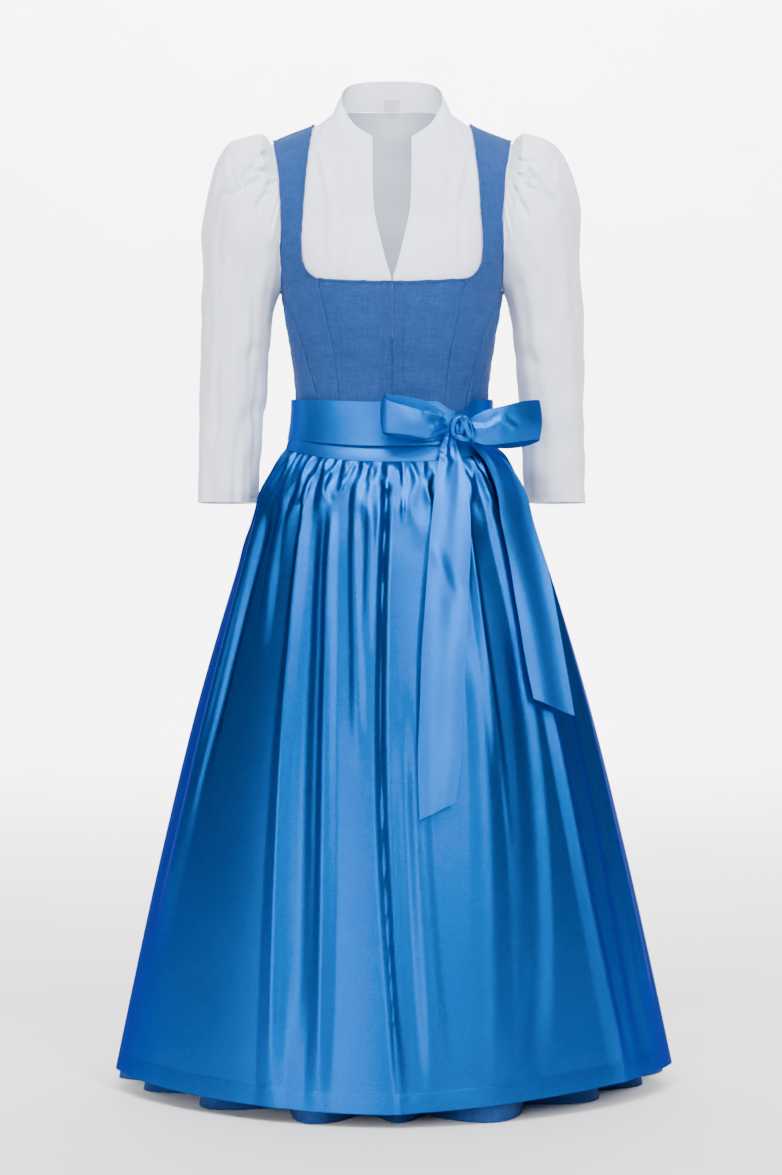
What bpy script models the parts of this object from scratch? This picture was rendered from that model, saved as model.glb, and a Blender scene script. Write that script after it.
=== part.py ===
"""Dirndl set: a white blouse, a linen bodice with its gathered skirt, and a satin apron tied with a bow.

Row frame: metres, +Z up. The wearer faces -Y and the wearer's left is +X.
The origin lies between the wearer's shoulders, at the height where the straps cross them.
Every cloth piece is a thin wall between two grids of points, worked out from sections of the figure
and of the skirt.
"""

import math
from collections import namedtuple

import bmesh
import bpy
import numpy as np

# ---------------------------------------------------------------- driving dimensions (metres)
GAP = 0.0003  # clearance between sewn pieces
LINEN = 0.0016  # walls of the bodice and the skirt
POPLIN = 0.0010  # wall of the blouse
SATIN = 0.0010  # wall of the apron
LAYER = 0.0022  # air between the bodice and the blouse below it
BLOUSE_OUT = -LINEN - LAYER  # the blouse's outer face, measured from the bodice's
HOOK_PLATE = 0.0007
HOOK_OUT = -LINEN - 0.0011
HOOK_SIZE = (0.0090, 0.0036)  # across the opening and along it

WAIST_SEAM = -0.400  # height of the seam between bodice and skirt at the sides
WAIST_DIP = 0.010  # how much lower that seam is at the front
SKIRT_HEM = -1.213
APRON_HEM = -1.197
APRON_LIFT = 0.009  # how much higher the apron's hem is at its sides
LEFT_LIFT = 0.006  # and how much higher again half way round on the wearer's left
WAISTBAND_TOP = -0.372
WAISTBAND_OUT = 0.0034  # how far its outer face lies off the bodice
TIE_LOW = -0.396
TIE_HIGH = -0.346
SKIRT_LENGTH = 0.813
BLOUSE_HEM = -0.255  # the blouse is cropped below the bust
BODICE_TOP = -0.208
CORNER_RISE = 0.0075  # how much higher the neckline's corners lie than the middle of its lower edge
CORNER_ANGLE = 0.72  # where the corners lie round the bodice, in radians

ARCH_BASE = -0.120  # above this height the torso closes over the shoulders
ARCH_SPAN = 0.130
ARCH_POWER = 1.15
RIDGE_LIFT = ARCH_BASE + ARCH_SPAN
SHOULDER_Y = 0.012  # the shoulder seam
ROUNDNESS = 2.3  # exponent of the torso's sections; 2 is an ellipse
RIDGE_HEIGHT = 0.0497  # the shoulder line carried on to the middle
RIDGE_SLOPE = 0.396
NECK_REACH = 0.105
NECK_RISE = 0.039
NECK_POINT = 0.078  # half the neck's width at the shoulder

Section = namedtuple("Section", "height half_width front back")
Edge = namedtuple("Edge", "height across")
Ring = namedtuple("Ring", "outer_x outer_z inner_x inner_z depth centre_y gather")
Collar = namedtuple("Collar", "station x y z")
Fold = namedtuple("Fold", "top middle hem height width start end")
Pleat = namedtuple("Pleat", "waist hem width depth")
Loop = namedtuple("Loop", "x y top bottom")
Tail = namedtuple("Tail", "height slant start out width turn")

# Outer face of the bodice, and of the figure up to the start of the shoulders.
TORSO = (
    Section(-0.430, 0.1305, 0.1120, 0.0930),
    Section(-0.400, 0.1275, 0.1080, 0.0900),
    Section(-0.365, 0.1240, 0.1035, 0.0865),
    Section(-0.345, 0.1235, 0.1030, 0.0860),
    Section(-0.314, 0.1256, 0.1070, 0.0870),
    Section(-0.278, 0.1310, 0.1180, 0.0905),
    Section(-0.242, 0.1372, 0.1275, 0.0955),
    Section(-0.206, 0.1425, 0.1320, 0.1000),
    Section(-0.178, 0.1495, 0.1290, 0.1025),
    Section(-0.150, 0.1600, 0.1190, 0.1040),
    Section(-0.120, 0.1700, 0.1060, 0.1030),
)

# Outer face of the apron's tie, which lies over waistband and bodice.
TIE = (
    Section(-0.435, 0.1440, 0.1265, 0.1110),
    Section(-0.396, 0.1340, 0.1160, 0.0990),
    Section(-0.370, 0.1300, 0.1110, 0.0940),
    Section(-0.335, 0.1295, 0.1105, 0.0925),
)

# Outline of the skirt with the apron on it. The height here is how far below the waist seam.
SKIRT = (
    Section(0.0000, 0.1330, 0.1130, 0.1000),
    Section(0.0087, 0.1385, 0.1170, 0.1060),
    Section(0.0215, 0.1474, 0.1235, 0.1150),
    Section(0.0400, 0.1577, 0.1330, 0.1260),
    Section(0.0600, 0.1680, 0.1420, 0.1370),
    Section(0.1000, 0.1815, 0.1560, 0.1540),
    Section(0.1950, 0.2128, 0.1830, 0.1850),
    Section(0.3230, 0.2513, 0.2140, 0.2200),
    Section(0.5150, 0.3000, 0.2540, 0.2630),
    Section(0.7070, 0.3436, 0.2890, 0.3010),
    Section(0.8130, 0.3665, 0.3080, 0.3220),
)

# How far the linen skirt's crests lie below that outline, where the apron covers it.
UNDER_APRON = (
    Edge(0.0000, 0.0038),
    Edge(0.0200, 0.0055),
    Edge(0.1000, 0.0085),
    Edge(0.8130, 0.0120),
)

# Pleats of the linen skirt, all round from the front: angles at waist and hem, half-width, depth at the hem.
PLEATS = (
    Pleat(2, 2, 8, 0.050),
    Pleat(20, 23.5, 13.5, 0.074),
    Pleat(50, 52, 12, 0.040),
    Pleat(76, 78, 13, 0.044),
    Pleat(102, 102, 12, 0.046),
    Pleat(126, 127, 13, 0.052),
    Pleat(150, 151, 12, 0.050),
    Pleat(174, 173, 11, 0.046),
    Pleat(198, 197, 13, 0.052),
    Pleat(222, 223, 13, 0.044),
    Pleat(248, 248, 13, 0.052),
    Pleat(272, 271, 11, 0.046),
    Pleat(291, 290, 10, 0.052),
    Pleat(315, 316, 11, 0.058),
    Pleat(340, 341, 9, 0.074),
)

# Folds of the apron: angle at its top, half way down and at its hem; height (a trough is below 0) and
# half-width in degrees; and where it starts and ends, as parts of the apron's length.
FOLDS = (
    Fold(-66, -62, -68, 0.0060, 5.0, 0.05, 0.75),
    Fold(-57, -58, -58, -0.0050, 4.0, 0.08, 0.50),
    Fold(-51, -41, -42, 0.0045, 3.6, 0.02, 0.30),
    Fold(-36, -29, -25, 0.0062, 3.2, 0.00, 1.00),
    Fold(-31, -23, -20, -0.0040, 3.0, 0.10, 0.90),
    Fold(-24, -16, -15, 0.0058, 4.0, 0.08, 1.00),
    Fold(-14, -9, -7, 0.0040, 2.6, 0.00, 0.46),
    Fold(-6, -8, -8, 0.0032, 2.4, 0.04, 0.32),
    Fold(-1, -3, 3, 0.0046, 2.0, 0.00, 1.00),
    Fold(2, 3, 7, -0.0045, 2.6, 0.45, 1.00),
    Fold(8, 7, 12, 0.0040, 2.4, 0.36, 0.95),
    Fold(29, 25, 22, 0.0062, 5.0, 0.30, 1.00),
    Fold(27, 29, 28, 0.0040, 2.6, 0.05, 0.50),
    Fold(42, 39, 30, -0.0050, 4.5, 0.30, 0.95),
    Fold(52, 50, 54, 0.0060, 3.4, 0.35, 1.00),
    Fold(40, 44, 44, 0.0030, 3.0, 0.02, 0.40),
    Fold(66, 64, 63, -0.0040, 4.0, 0.20, 1.00),
    Fold(74, 72, 72, 0.0040, 4.0, 0.05, 0.90),
)
APRON_SIDES = (-75, 80)  # angles of its two side edges
APRON_GATHERS = 30
SKIRT_GATHER_PITCH = 7.5  # degrees

# One sleeve, from beside its armhole to the cuff: its outer and inner edge as seen from the front.
SLEEVE = (
    Ring(0.1680, -0.0085, 0.1440, -0.2060, 0.073, 0.003, 1.0),
    Ring(0.1880, -0.0095, 0.1462, -0.2095, 0.079, 0.003, 0.9),
    Ring(0.2070, -0.0175, 0.1480, -0.2135, 0.082, 0.003, 0.6),
    Ring(0.2220, -0.0390, 0.1498, -0.2180, 0.082, 0.004, 0.0),
    Ring(0.2325, -0.0690, 0.1515, -0.2245, 0.081, 0.005, 0.0),
    Ring(0.2392, -0.1080, 0.1532, -0.2330, 0.078, 0.007, 0.0),
    Ring(0.2415, -0.1570, 0.1556, -0.2500, 0.074, 0.011, 0.0),
    Ring(0.2436, -0.2200, 0.1595, -0.2820, 0.069, 0.017, 0.0),
    Ring(0.2455, -0.2900, 0.1635, -0.3270, 0.064, 0.024, 0.0),
    Ring(0.2470, -0.3560, 0.1675, -0.3750, 0.059, 0.031, 0.0),
    Ring(0.2486, -0.4180, 0.1715, -0.4260, 0.054, 0.039, 0.0),
    Ring(0.2501, -0.4750, 0.1750, -0.4750, 0.050, 0.045, 0.0),
)

# The stand collar's upper edge, from the middle of the nape (station 0) to its front end (station 1).
COLLAR_RIM = (
    Collar(0.00, 0.0000, 0.0580, 0.0755),
    Collar(0.16, 0.0300, 0.0540, 0.0740),
    Collar(0.32, 0.0530, 0.0395, 0.0670),
    Collar(0.50, 0.0640, 0.0130, 0.0520),
    Collar(0.66, 0.0628, -0.0130, 0.0300),
    Collar(0.82, 0.0490, -0.0400, 0.0030),
    Collar(1.00, 0.0252, -0.0640, -0.0180),
)

# The bow's loops as seen from above, from the knot along the front layer, round the fold and back.
BOW_LEFT = (
    Loop(0.0665, -0.1180, -0.3770, -0.3930),
    Loop(0.0450, -0.1350, -0.3708, -0.4013),
    Loop(0.0180, -0.1430, -0.3627, -0.3977),
    Loop(-0.0040, -0.1410, -0.3560, -0.3955),
    Loop(-0.0115, -0.1335, -0.3480, -0.3950),
    Loop(-0.0050, -0.1270, -0.3480, -0.3985),
    Loop(0.0180, -0.1245, -0.3495, -0.4020),
    Loop(0.0430, -0.1190, -0.3555, -0.4040),
    Loop(0.0650, -0.1100, -0.3680, -0.4010),
)
BOW_RIGHT = (
    Loop(0.0980, -0.1080, -0.3750, -0.4020),
    Loop(0.1150, -0.1090, -0.3660, -0.4080),
    Loop(0.1400, -0.1010, -0.3590, -0.4060),
    Loop(0.1650, -0.0840, -0.3520, -0.4020),
    Loop(0.1830, -0.0620, -0.3490, -0.3990),
    Loop(0.1860, -0.0525, -0.3495, -0.4000),
    Loop(0.1800, -0.0475, -0.3510, -0.4030),
    Loop(0.1600, -0.0600, -0.3570, -0.4090),
    Loop(0.1350, -0.0780, -0.3640, -0.4110),
    Loop(0.1130, -0.0900, -0.3700, -0.4060),
    Loop(0.0980, -0.0970, -0.3760, -0.3990),
)

# The tie's hanging ends: the near edge's height, how much lower the far edge is, the near edge's angle
# on the skirt and its distance from it, the width, and the way the far edge lies, in degrees from +X.
TAIL_FRONT = (
    Tail(-0.4060, 0.000, 21.0, 0.0130, 0.020, 20),
    Tail(-0.4250, 0.000, 19.0, 0.0125, 0.028, 16),
    Tail(-0.4620, 0.000, 15.0, 0.0120, 0.041, 12),
    Tail(-0.5170, 0.000, 12.2, 0.0120, 0.050, 10),
    Tail(-0.5800, 0.000, 10.2, 0.0115, 0.053, 9),
    Tail(-0.6500, 0.000, 8.6, 0.0115, 0.054, 8),
    Tail(-0.7200, 0.000, 7.6, 0.0110, 0.053, 7),
    Tail(-0.7900, -0.003, 6.8, 0.0110, 0.052, 6),
    Tail(-0.8600, -0.020, 7.0, 0.0110, 0.044, 6),
)
TAIL_SIDE = (
    Tail(-0.4030, 0.000, 38.5, 0.0085, 0.022, 50),
    Tail(-0.4200, 0.000, 43.0, 0.0100, 0.038, 44),
    Tail(-0.4500, 0.002, 45.0, 0.0105, 0.050, 44),
    Tail(-0.4980, 0.004, 43.0, 0.0110, 0.054, 38),
    Tail(-0.5500, 0.008, 42.6, 0.0120, 0.055, 30),
    Tail(-0.6040, 0.012, 41.6, 0.0120, 0.055, 22),
    Tail(-0.6690, 0.016, 41.3, 0.0120, 0.055, 20),
    Tail(-0.7200, 0.022, 41.5, 0.0120, 0.055, 20),
)
KNOT_CENTRE = (0.0823, -0.1125, -0.3880)
KNOT_HALF = (0.0140, 0.0105, 0.0160)
KNOT_TURN = math.radians(29)
KNOT_ANGLE = 36  # where the tie's two ends meet below the knot, in degrees

MATERIALS = {
    "linen": ((0.085, 0.200, 0.520), 0.85),
    "poplin": ((0.860, 0.870, 0.900), 0.80),
    "satin": ((0.020, 0.190, 0.560), 0.35),
    "steel": ((0.550, 0.560, 0.580), 0.35),
}


# ---------------------------------------------------------------- tables and the figure
def column(rows, name, at):
    """One column of a table, at a value of its first column, on a smooth curve through its rows."""
    x = np.array([row[0] for row in rows], float)
    y = np.array([getattr(row, name) for row in rows], float)
    if x[0] > x[-1]:
        x, y = x[::-1], y[::-1]
    slope = np.gradient(y, x)
    at = min(max(at, x[0]), x[-1])
    i = int(min(max(np.searchsorted(x, at) - 1, 0), len(x) - 2))
    span = x[i + 1] - x[i]
    t = (at - x[i]) / span
    rise = y[i + 1] - y[i]
    bend = ((slope[i] * span - rise) * (1 - t) - (slope[i + 1] * span - rise) * t) * t * (1 - t)
    return float(y[i] + rise * t + bend)


def smoothly(share):
    """0 below 0, 1 above 1, and a smooth step between."""
    share = min(1.0, max(0.0, share))
    return share * share * (3 - 2 * share)


def ring_point(sizes, phi, roundness=ROUNDNESS):
    """A point of a rounded section. phi is 0 at the front middle, and turns towards the wearer's left."""
    half_width, front, back = sizes
    across, ahead = math.sin(phi), math.cos(phi)
    depth = front if ahead > 0 else back
    power = 2 / roundness
    x = half_width * math.copysign(abs(across) ** power, across)
    return x, -depth * math.copysign(abs(ahead) ** power, ahead)


def sizes_at(table, height, out=0.0):
    return [column(table, name, height) + out for name in Section._fields[1:]]


def ridge(x):
    """Height of the shoulder line at x, with its rise towards the neck."""
    return RIDGE_HEIGHT - RIDGE_SLOPE * abs(x) + NECK_RISE * max(0.0, 1 - (x / NECK_REACH) ** 2) ** 2


def torso(phi, lift, out=0.0):
    """A point of the torso, moved out. lift is the height, and above ARCH_BASE it counts up the shoulders."""
    x, y = ring_point(sizes_at(TORSO, min(lift, ARCH_BASE), out), phi)
    if lift <= ARCH_BASE:
        return x, y, lift
    turn = min(1.0, (lift - ARCH_BASE) / ARCH_SPAN) * math.pi / 2
    y = SHOULDER_Y + (y - SHOULDER_Y) * math.cos(turn) ** ARCH_POWER
    return x, y, ARCH_BASE + (ridge(x) + out - ARCH_BASE) * math.sin(turn) ** ARCH_POWER


def lift_of(height, x):
    """The lift at which the torso has this height, above the point x."""
    if height <= ARCH_BASE:
        return height
    share = min(1.0, (height - ARCH_BASE) / (ridge(x) - ARCH_BASE))
    return ARCH_BASE + ARCH_SPAN * math.asin(share ** (1 / ARCH_POWER)) * 2 / math.pi


def phi_of(x, lift, face="front"):
    """The angle at which the torso's section at this lift is x wide."""
    half = column(TORSO, "half_width", min(lift, ARCH_BASE))
    turn = math.copysign(math.asin(min(1.0, (abs(x) / half) ** (ROUNDNESS / 2))), x)
    return turn if face == "front" else math.pi - turn


def edge(*pairs):
    """An edge given by pairs (real height, distance from the middle), as Edge rows by lift."""
    return tuple(Edge(lift_of(height, across), across) for height, across in pairs)


# Edges of the cut pieces on one half of the figure.
PRINCESS_SEAM = edge((-0.430, 0.0630), (-0.353, 0.0665), (-0.325, 0.0690), (-0.287, 0.0745),
                     (-0.2505, 0.0825), (BODICE_TOP, 0.0925))
NECKLINE = edge((BODICE_TOP, 0.0925), (-0.2015, 0.0990), (-0.1930, 0.1070), (-0.1805, 0.1110),
                (-0.1520, 0.1128), (-0.1120, 0.1110), (-0.0640, 0.1077), (-0.0170, 0.1033), (0.0300, 0.0995))
SIDE_FRONT_SEAM = edge((-0.430, 0.0880), (-0.343, 0.0960), (-0.293, 0.1090), (-0.252, 0.1215),
                       (-0.2280, 0.1320), (BODICE_TOP, 0.1395))
ARMHOLE_FRONT = edge((BODICE_TOP, 0.1395), (-0.1775, 0.1400), (-0.1600, 0.1400), (-0.1245, 0.1386),
                     (-0.0890, 0.1412), (-0.0590, 0.1438), (-0.0380, 0.1480), (0.0300, 0.1538))
BACK_SEAM = edge((-0.430, 0.0380), (-0.345, 0.0340), (-0.240, 0.0520), (-0.160, 0.0700), (-0.1200, 0.0780))
BACK_NECKLINE = edge((-0.1200, 0.0780), (-0.1120, 0.0860), (-0.1000, 0.0940), (-0.0750, 0.1000),
                     (-0.0400, 0.1010), (0.0300, 0.0995))
ARMHOLE_BACK = edge((BODICE_TOP, 0.1395), (-0.1775, 0.1405), (-0.1245, 0.1400), (-0.0800, 0.1430),
                    (-0.0400, 0.1480), (0.0300, 0.1538))
BLOUSE_OPENING = edge((BLOUSE_HEM, 0.0012), (-0.2150, 0.0012), (-0.2050, 0.0014), (-0.1830, 0.0074),
                      (-0.1440, 0.0170), (-0.0967, 0.0240), (-0.0220, 0.0252))
BLOUSE_BAND = edge((BLOUSE_HEM, 0.0200), (-0.2030, 0.0200), (-0.1830, 0.0265), (-0.1440, 0.0365),
                   (-0.0967, 0.0445), (-0.0340, 0.0478))
NECK_SEAM = edge((-0.0340, 0.0478), (-0.0120, 0.0625), (0.0105, 0.0735), (0.0300, NECK_POINT))
NAPE_SEAM = (Edge(0.0000, 0.0380), Edge(0.0350, 0.0365), Edge(0.0620, 0.0315), Edge(NECK_POINT, 0.0262))
BLOUSE_ARMHOLE = edge((-0.2000, 0.1455), (-0.1800, 0.1432), (-0.1500, 0.1428), (-0.1040, 0.1436),
                      (-0.0830, 0.1450), (-0.0450, 0.1540), (0.0300, 0.1594))

BODICE_LOW = -0.4185  # stands for the waist seam in a table of rows
BODICE_ROWS = (BODICE_LOW, -0.378, -0.345, -0.310, -0.275, -0.242, BODICE_TOP)
STRAP_ROWS = (-0.2015, -0.1930, -0.1775, -0.1500, -0.1200)
UNDERARM = -0.200
BLOUSE_ROWS = (BLOUSE_HEM, -0.228, UNDERARM, -0.172, -0.145, ARCH_BASE)
ARCH_ROWS = 6


# ---------------------------------------------------------------- walls of cloth
def material(name):
    """The cloth's plain material, made once."""
    made = bpy.data.materials.get(name)
    if made is None:
        made = bpy.data.materials.new(name)
        made.use_nodes = True
        colour, roughness = MATERIALS[name]
        shader = made.node_tree.nodes["Principled BSDF"]
        shader.inputs["Base Color"].default_value = (*colour, 1)
        shader.inputs["Roughness"].default_value = roughness
        shader.inputs["Metallic"].default_value = 1.0 if name == "steel" else 0.0
    return made


def finish(name, mesh, cloth):
    """Make an object of a bmesh, facing out."""
    bmesh.ops.recalc_face_normals(mesh, faces=mesh.faces)
    data = bpy.data.meshes.new(name)
    mesh.to_mesh(data)
    mesh.free()
    data.materials.append(material(cloth))
    made = bpy.data.objects.new(name, data)
    bpy.context.scene.collection.objects.link(made)
    return made


def zip_rows(mesh, lower, upper, flip):
    """Triangles between two rows of vertices, of which one may have twice the other's steps."""
    faces = []
    low, high = len(lower) - 1, len(upper) - 1
    if low == high:
        for j in range(low):
            faces += [(lower[j], lower[j + 1], upper[j + 1]), (lower[j], upper[j + 1], upper[j])]
    elif high == 2 * low:
        for j in range(low):
            a, b = lower[j], lower[j + 1]
            p, q, r = upper[2 * j : 2 * j + 3]
            faces += [(a, q, p), (a, b, q), (b, r, q)]
    else:
        for j in range(high):
            a, b = upper[j], upper[j + 1]
            p, q, r = lower[2 * j : 2 * j + 3]
            faces += [(a, p, q), (a, q, b), (b, q, r)]
    for face in faces:
        mesh.faces.new(face[::-1] if flip else face)


def wall(name, outer, inner, cloth, loop=False):
    """A closed wall between two lists of rows of points. loop joins each row's last point to its first."""
    mesh = bmesh.new()
    skins = [[[mesh.verts.new(point) for point in row] for row in skin] for skin in (outer, inner)]
    if loop:
        skins = [[row + row[:1] for row in skin] for skin in skins]
    for skin, flip in zip(skins, (False, True)):
        for lower, upper in zip(skin, skin[1:]):
            zip_rows(mesh, lower, upper, flip)
    out, into = skins
    zip_rows(mesh, into[0], out[0], False)
    zip_rows(mesh, out[-1], into[-1], False)
    if not loop:
        zip_rows(mesh, [row[0] for row in out], [row[0] for row in into], True)
        zip_rows(mesh, [row[-1] for row in into], [row[-1] for row in out], True)
    return finish(name, mesh, cloth)


def spaced(start, end, count):
    return [start + (end - start) * i / count for i in range(count + 1)]


def moved_in(points, beside, length):
    """The points moved towards their neighbours by a length."""
    step = np.asarray(beside) - np.asarray(points)
    return points + step / np.linalg.norm(step, axis=-1, keepdims=True) * length


def drawn_in(rows, ends=(0, 0), columns=(0, 0)):
    """The rows of points with the outer rows and columns drawn in by these lengths: (first, last)."""
    rows = [np.array(row, float) for row in rows]
    if ends[0]:
        rows[0] = moved_in(rows[0], rows[1], ends[0])
    if ends[1]:
        rows[-1] = moved_in(rows[-1], rows[-2], ends[1])
    for row in rows:
        if columns[0]:
            row[0] = moved_in(row[0], row[1], columns[0])
        if columns[1]:
            row[-1] = moved_in(row[-1], row[-2], columns[1])
    return rows


def mirrored(rows, side):
    """The rows on the wearer's left (side 1), or their mirror image (side -1)."""
    return [row * np.array([side, 1, 1]) for row in rows]


def surface_wall(name, place, grid, thick, cloth, columns=(0, 0)):
    """A wall whose outer face is place(u, v) over rows of (u, v), and whose inner face lies behind it."""
    step = 1e-4
    outer, inner = [], []
    for row in grid:
        points = np.array([place(u, v) for u, v in row])
        along = np.array([place(u + step, v) for u, v in row]) - [place(u - step, v) for u, v in row]
        up = np.array([place(u, v + step) for u, v in row]) - [place(u, v - step) for u, v in row]
        normal = np.cross(along, up)
        normal /= np.linalg.norm(normal, axis=1, keepdims=True)
        outer.append(points)
        inner.append(points - normal * thick)
    return wall(name, drawn_in(outer, columns=columns), drawn_in(inner, columns=columns), cloth)


def torso_wall(name, rows, count, out, thick, cloth, side, face="front", far_face=None, level=None,
               ends=(0, 0), columns=(GAP / 2, GAP / 2)):
    """A panel on the torso. rows are (lift, near edge x, far edge x), and level may change a point's lift."""
    skins = []
    for depth in (out, out - thick):
        grid = []
        for lift, near, far in rows:
            turns = spaced(phi_of(near, lift, face), phi_of(far, lift, far_face or face), count)
            grid.append([torso(phi, level(phi, lift) if level else lift, depth) for phi in turns])
        skins.append(mirrored(drawn_in(grid, ends, columns), side))
    return wall(name, *skins, cloth)


SIDES = (("left", 1), ("right", -1))


def waist_seam(phi):
    """Height of the seam between bodice and skirt."""
    return WAIST_SEAM - WAIST_DIP * max(0.0, math.cos(phi)) ** 2


def across(table, lift):
    return column(table, "across", lift)


# ---------------------------------------------------------------- bodice
def bodice_level(phi, lift):
    """The lowest row follows the waist seam, and the upper edge rises to the neckline's corners."""
    if lift <= BODICE_LOW:
        return waist_seam(phi) + GAP
    angle = abs(phi)
    rise = CORNER_RISE * min(1.0, angle / CORNER_ANGLE) ** 1.7 * smoothly((1.31 - angle) / 0.44)
    if lift > BODICE_TOP:
        return lift + rise * max(0.0, 1 - (lift - BODICE_TOP) / 0.07)
    return lift + rise * ((lift - BODICE_LOW) / (BODICE_TOP - BODICE_LOW)) ** 3


def bodice():
    """Linen panels: fronts, side fronts with straps, sides, side backs with straps, and the back."""
    arch = spaced(ARCH_BASE, RIDGE_LIFT, ARCH_ROWS)[1:]
    opening = 0.0007
    for word, side in SIDES:
        def panel(name, rows, count, **where):
            torso_wall(f"bodice_{name}_{word}", rows, count, 0, LINEN, "linen", side,
                       level=bodice_level, **where)

        panel("front", [(lift, opening, across(PRINCESS_SEAM, lift)) for lift in BODICE_ROWS], 4,
              columns=(0, GAP / 2))
        rows = [(lift, across(PRINCESS_SEAM, lift), across(SIDE_FRONT_SEAM, lift)) for lift in BODICE_ROWS]
        rows += [(lift, across(NECKLINE, lift), across(ARMHOLE_FRONT, lift)) for lift in (*STRAP_ROWS, *arch)]
        panel("side_front", rows, 3, ends=(0, GAP / 2))
        side_seam = [column(TORSO, "half_width", lift) * 0.985 for lift in BODICE_ROWS]
        rows = [(lift, across(SIDE_FRONT_SEAM, lift), far) for lift, far in zip(BODICE_ROWS, side_seam)]
        panel("side", rows, 4, far_face="back")
        rows = [(lift, far, across(BACK_SEAM, lift)) for lift, far in zip(BODICE_ROWS, side_seam)]
        rows += [(lift, across(ARMHOLE_BACK, lift), across(BACK_SEAM, lift)) for lift in STRAP_ROWS]
        rows += [(lift, across(ARMHOLE_BACK, lift), across(BACK_NECKLINE, lift)) for lift in arch]
        panel("side_back", rows, 4, face="back", ends=(0, GAP / 2))
    rows = [(lift, across(BACK_SEAM, lift), -across(BACK_SEAM, lift))
            for lift in (*BODICE_ROWS, *STRAP_ROWS[1:])]
    torso_wall("bodice_back", rows, 5, 0, LINEN, "linen", 1, face="back", level=bodice_level)


def front_hooks():
    """Hooks behind the opening of the bodice, each a small plate that bridges it."""
    half, tall = HOOK_SIZE[0] / 2, HOOK_SIZE[1] / 2
    for number, height in enumerate(spaced(-0.240, -0.385, 4), 1):
        rows = [(lift, -half, half) for lift in (height - tall, height + tall)]
        torso_wall(f"front_hook_{number}", rows, 2, HOOK_OUT, HOOK_PLATE, "steel", 1)


# ---------------------------------------------------------------- blouse
def blouse_levels():
    """Lifts of the rows that the blouse's panels and armholes share, with one at the bands' upper end."""
    return sorted([*BLOUSE_ROWS, *spaced(ARCH_BASE, RIDGE_LIFT, ARCH_ROWS)[1:], BLOUSE_BAND[-1].height])


def blouse_body():
    """White panels below the bodice: two fronts with bands beside the opening, and a back in one piece."""
    seam_top = BLOUSE_BAND[-1].height
    levels = blouse_levels()

    def side_edge(lift):
        if lift <= UNDERARM:
            return column(TORSO, "half_width", lift)
        return across(BLOUSE_ARMHOLE, lift)

    for word, side in SIDES:
        rows = [(lift, across(BLOUSE_BAND if lift <= seam_top else NECK_SEAM, lift), side_edge(lift))
                for lift in levels]
        torso_wall(f"blouse_front_{word}", rows, 5, BLOUSE_OUT, POPLIN, "poplin", side, ends=(0, GAP / 2))
        rows = [(lift, across(BLOUSE_OPENING, lift), across(BLOUSE_BAND, lift))
                for lift in levels if lift <= seam_top]

        def band_level(phi, lift):
            """The band's upper end slopes up to the middle, along the collar's front end."""
            if lift < seam_top:
                return lift
            x = torso(phi, lift)[0]
            return seam_top + (across(BLOUSE_BAND, seam_top) - x) * 0.13

        torso_wall(f"blouse_band_{word}", rows, 2, BLOUSE_OUT, POPLIN, "poplin", side,
                   level=band_level, ends=(0, GAP))

    stations = back_stations()
    skins = []
    for depth in (BLOUSE_OUT, BLOUSE_OUT - POPLIN):
        grid = []
        for level in levels:
            share = (level - BLOUSE_HEM) / (RIDGE_LIFT - BLOUSE_HEM)
            row = []
            for station in stations:
                lift = BLOUSE_HEM + (top_lift(station) - BLOUSE_HEM) * share
                row.append(torso(phi_of(station * side_edge(level), lift, "back"), lift, depth))
            grid.append(row)
        skins.append(drawn_in(grid, (0, GAP / 2), (GAP / 2, GAP / 2)))
    wall("blouse_back", *skins, "poplin")


def back_stations():
    """Columns of the blouse's back, as parts of its half-width, with one at each side of the neck."""
    neck = NECK_POINT / across(BLOUSE_ARMHOLE, RIDGE_LIFT)
    half = [*spaced(0, neck, 4), *spaced(neck, 1, 3)[1:]]
    return [-share for share in half[:0:-1]] + half


def top_lift(station):
    """The lift of the back's upper edge: the nape seam between the neck's sides, and the shoulder beyond."""
    x = abs(station) * across(BLOUSE_ARMHOLE, RIDGE_LIFT)
    return lift_of(across(NAPE_SEAM, x), x) if x < NECK_POINT - 1e-6 else RIDGE_LIFT


def neck_stations():
    """Points of the neck seam from the nape to the front end of the collar, on the blouse's outer face."""
    reach = across(BLOUSE_ARMHOLE, RIDGE_LIFT)
    points = []
    for share in spaced(0, NECK_POINT / reach, 4):
        lift = top_lift(share)
        points.append(torso(phi_of(share * reach, lift, "back"), lift, BLOUSE_OUT))
    seam_top = BLOUSE_BAND[-1].height
    for lift in [lift for lift in blouse_levels()[-2::-1] if lift >= seam_top]:
        points.append(torso(phi_of(across(NECK_SEAM, lift), lift), lift, BLOUSE_OUT))
    return np.array(points)


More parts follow.
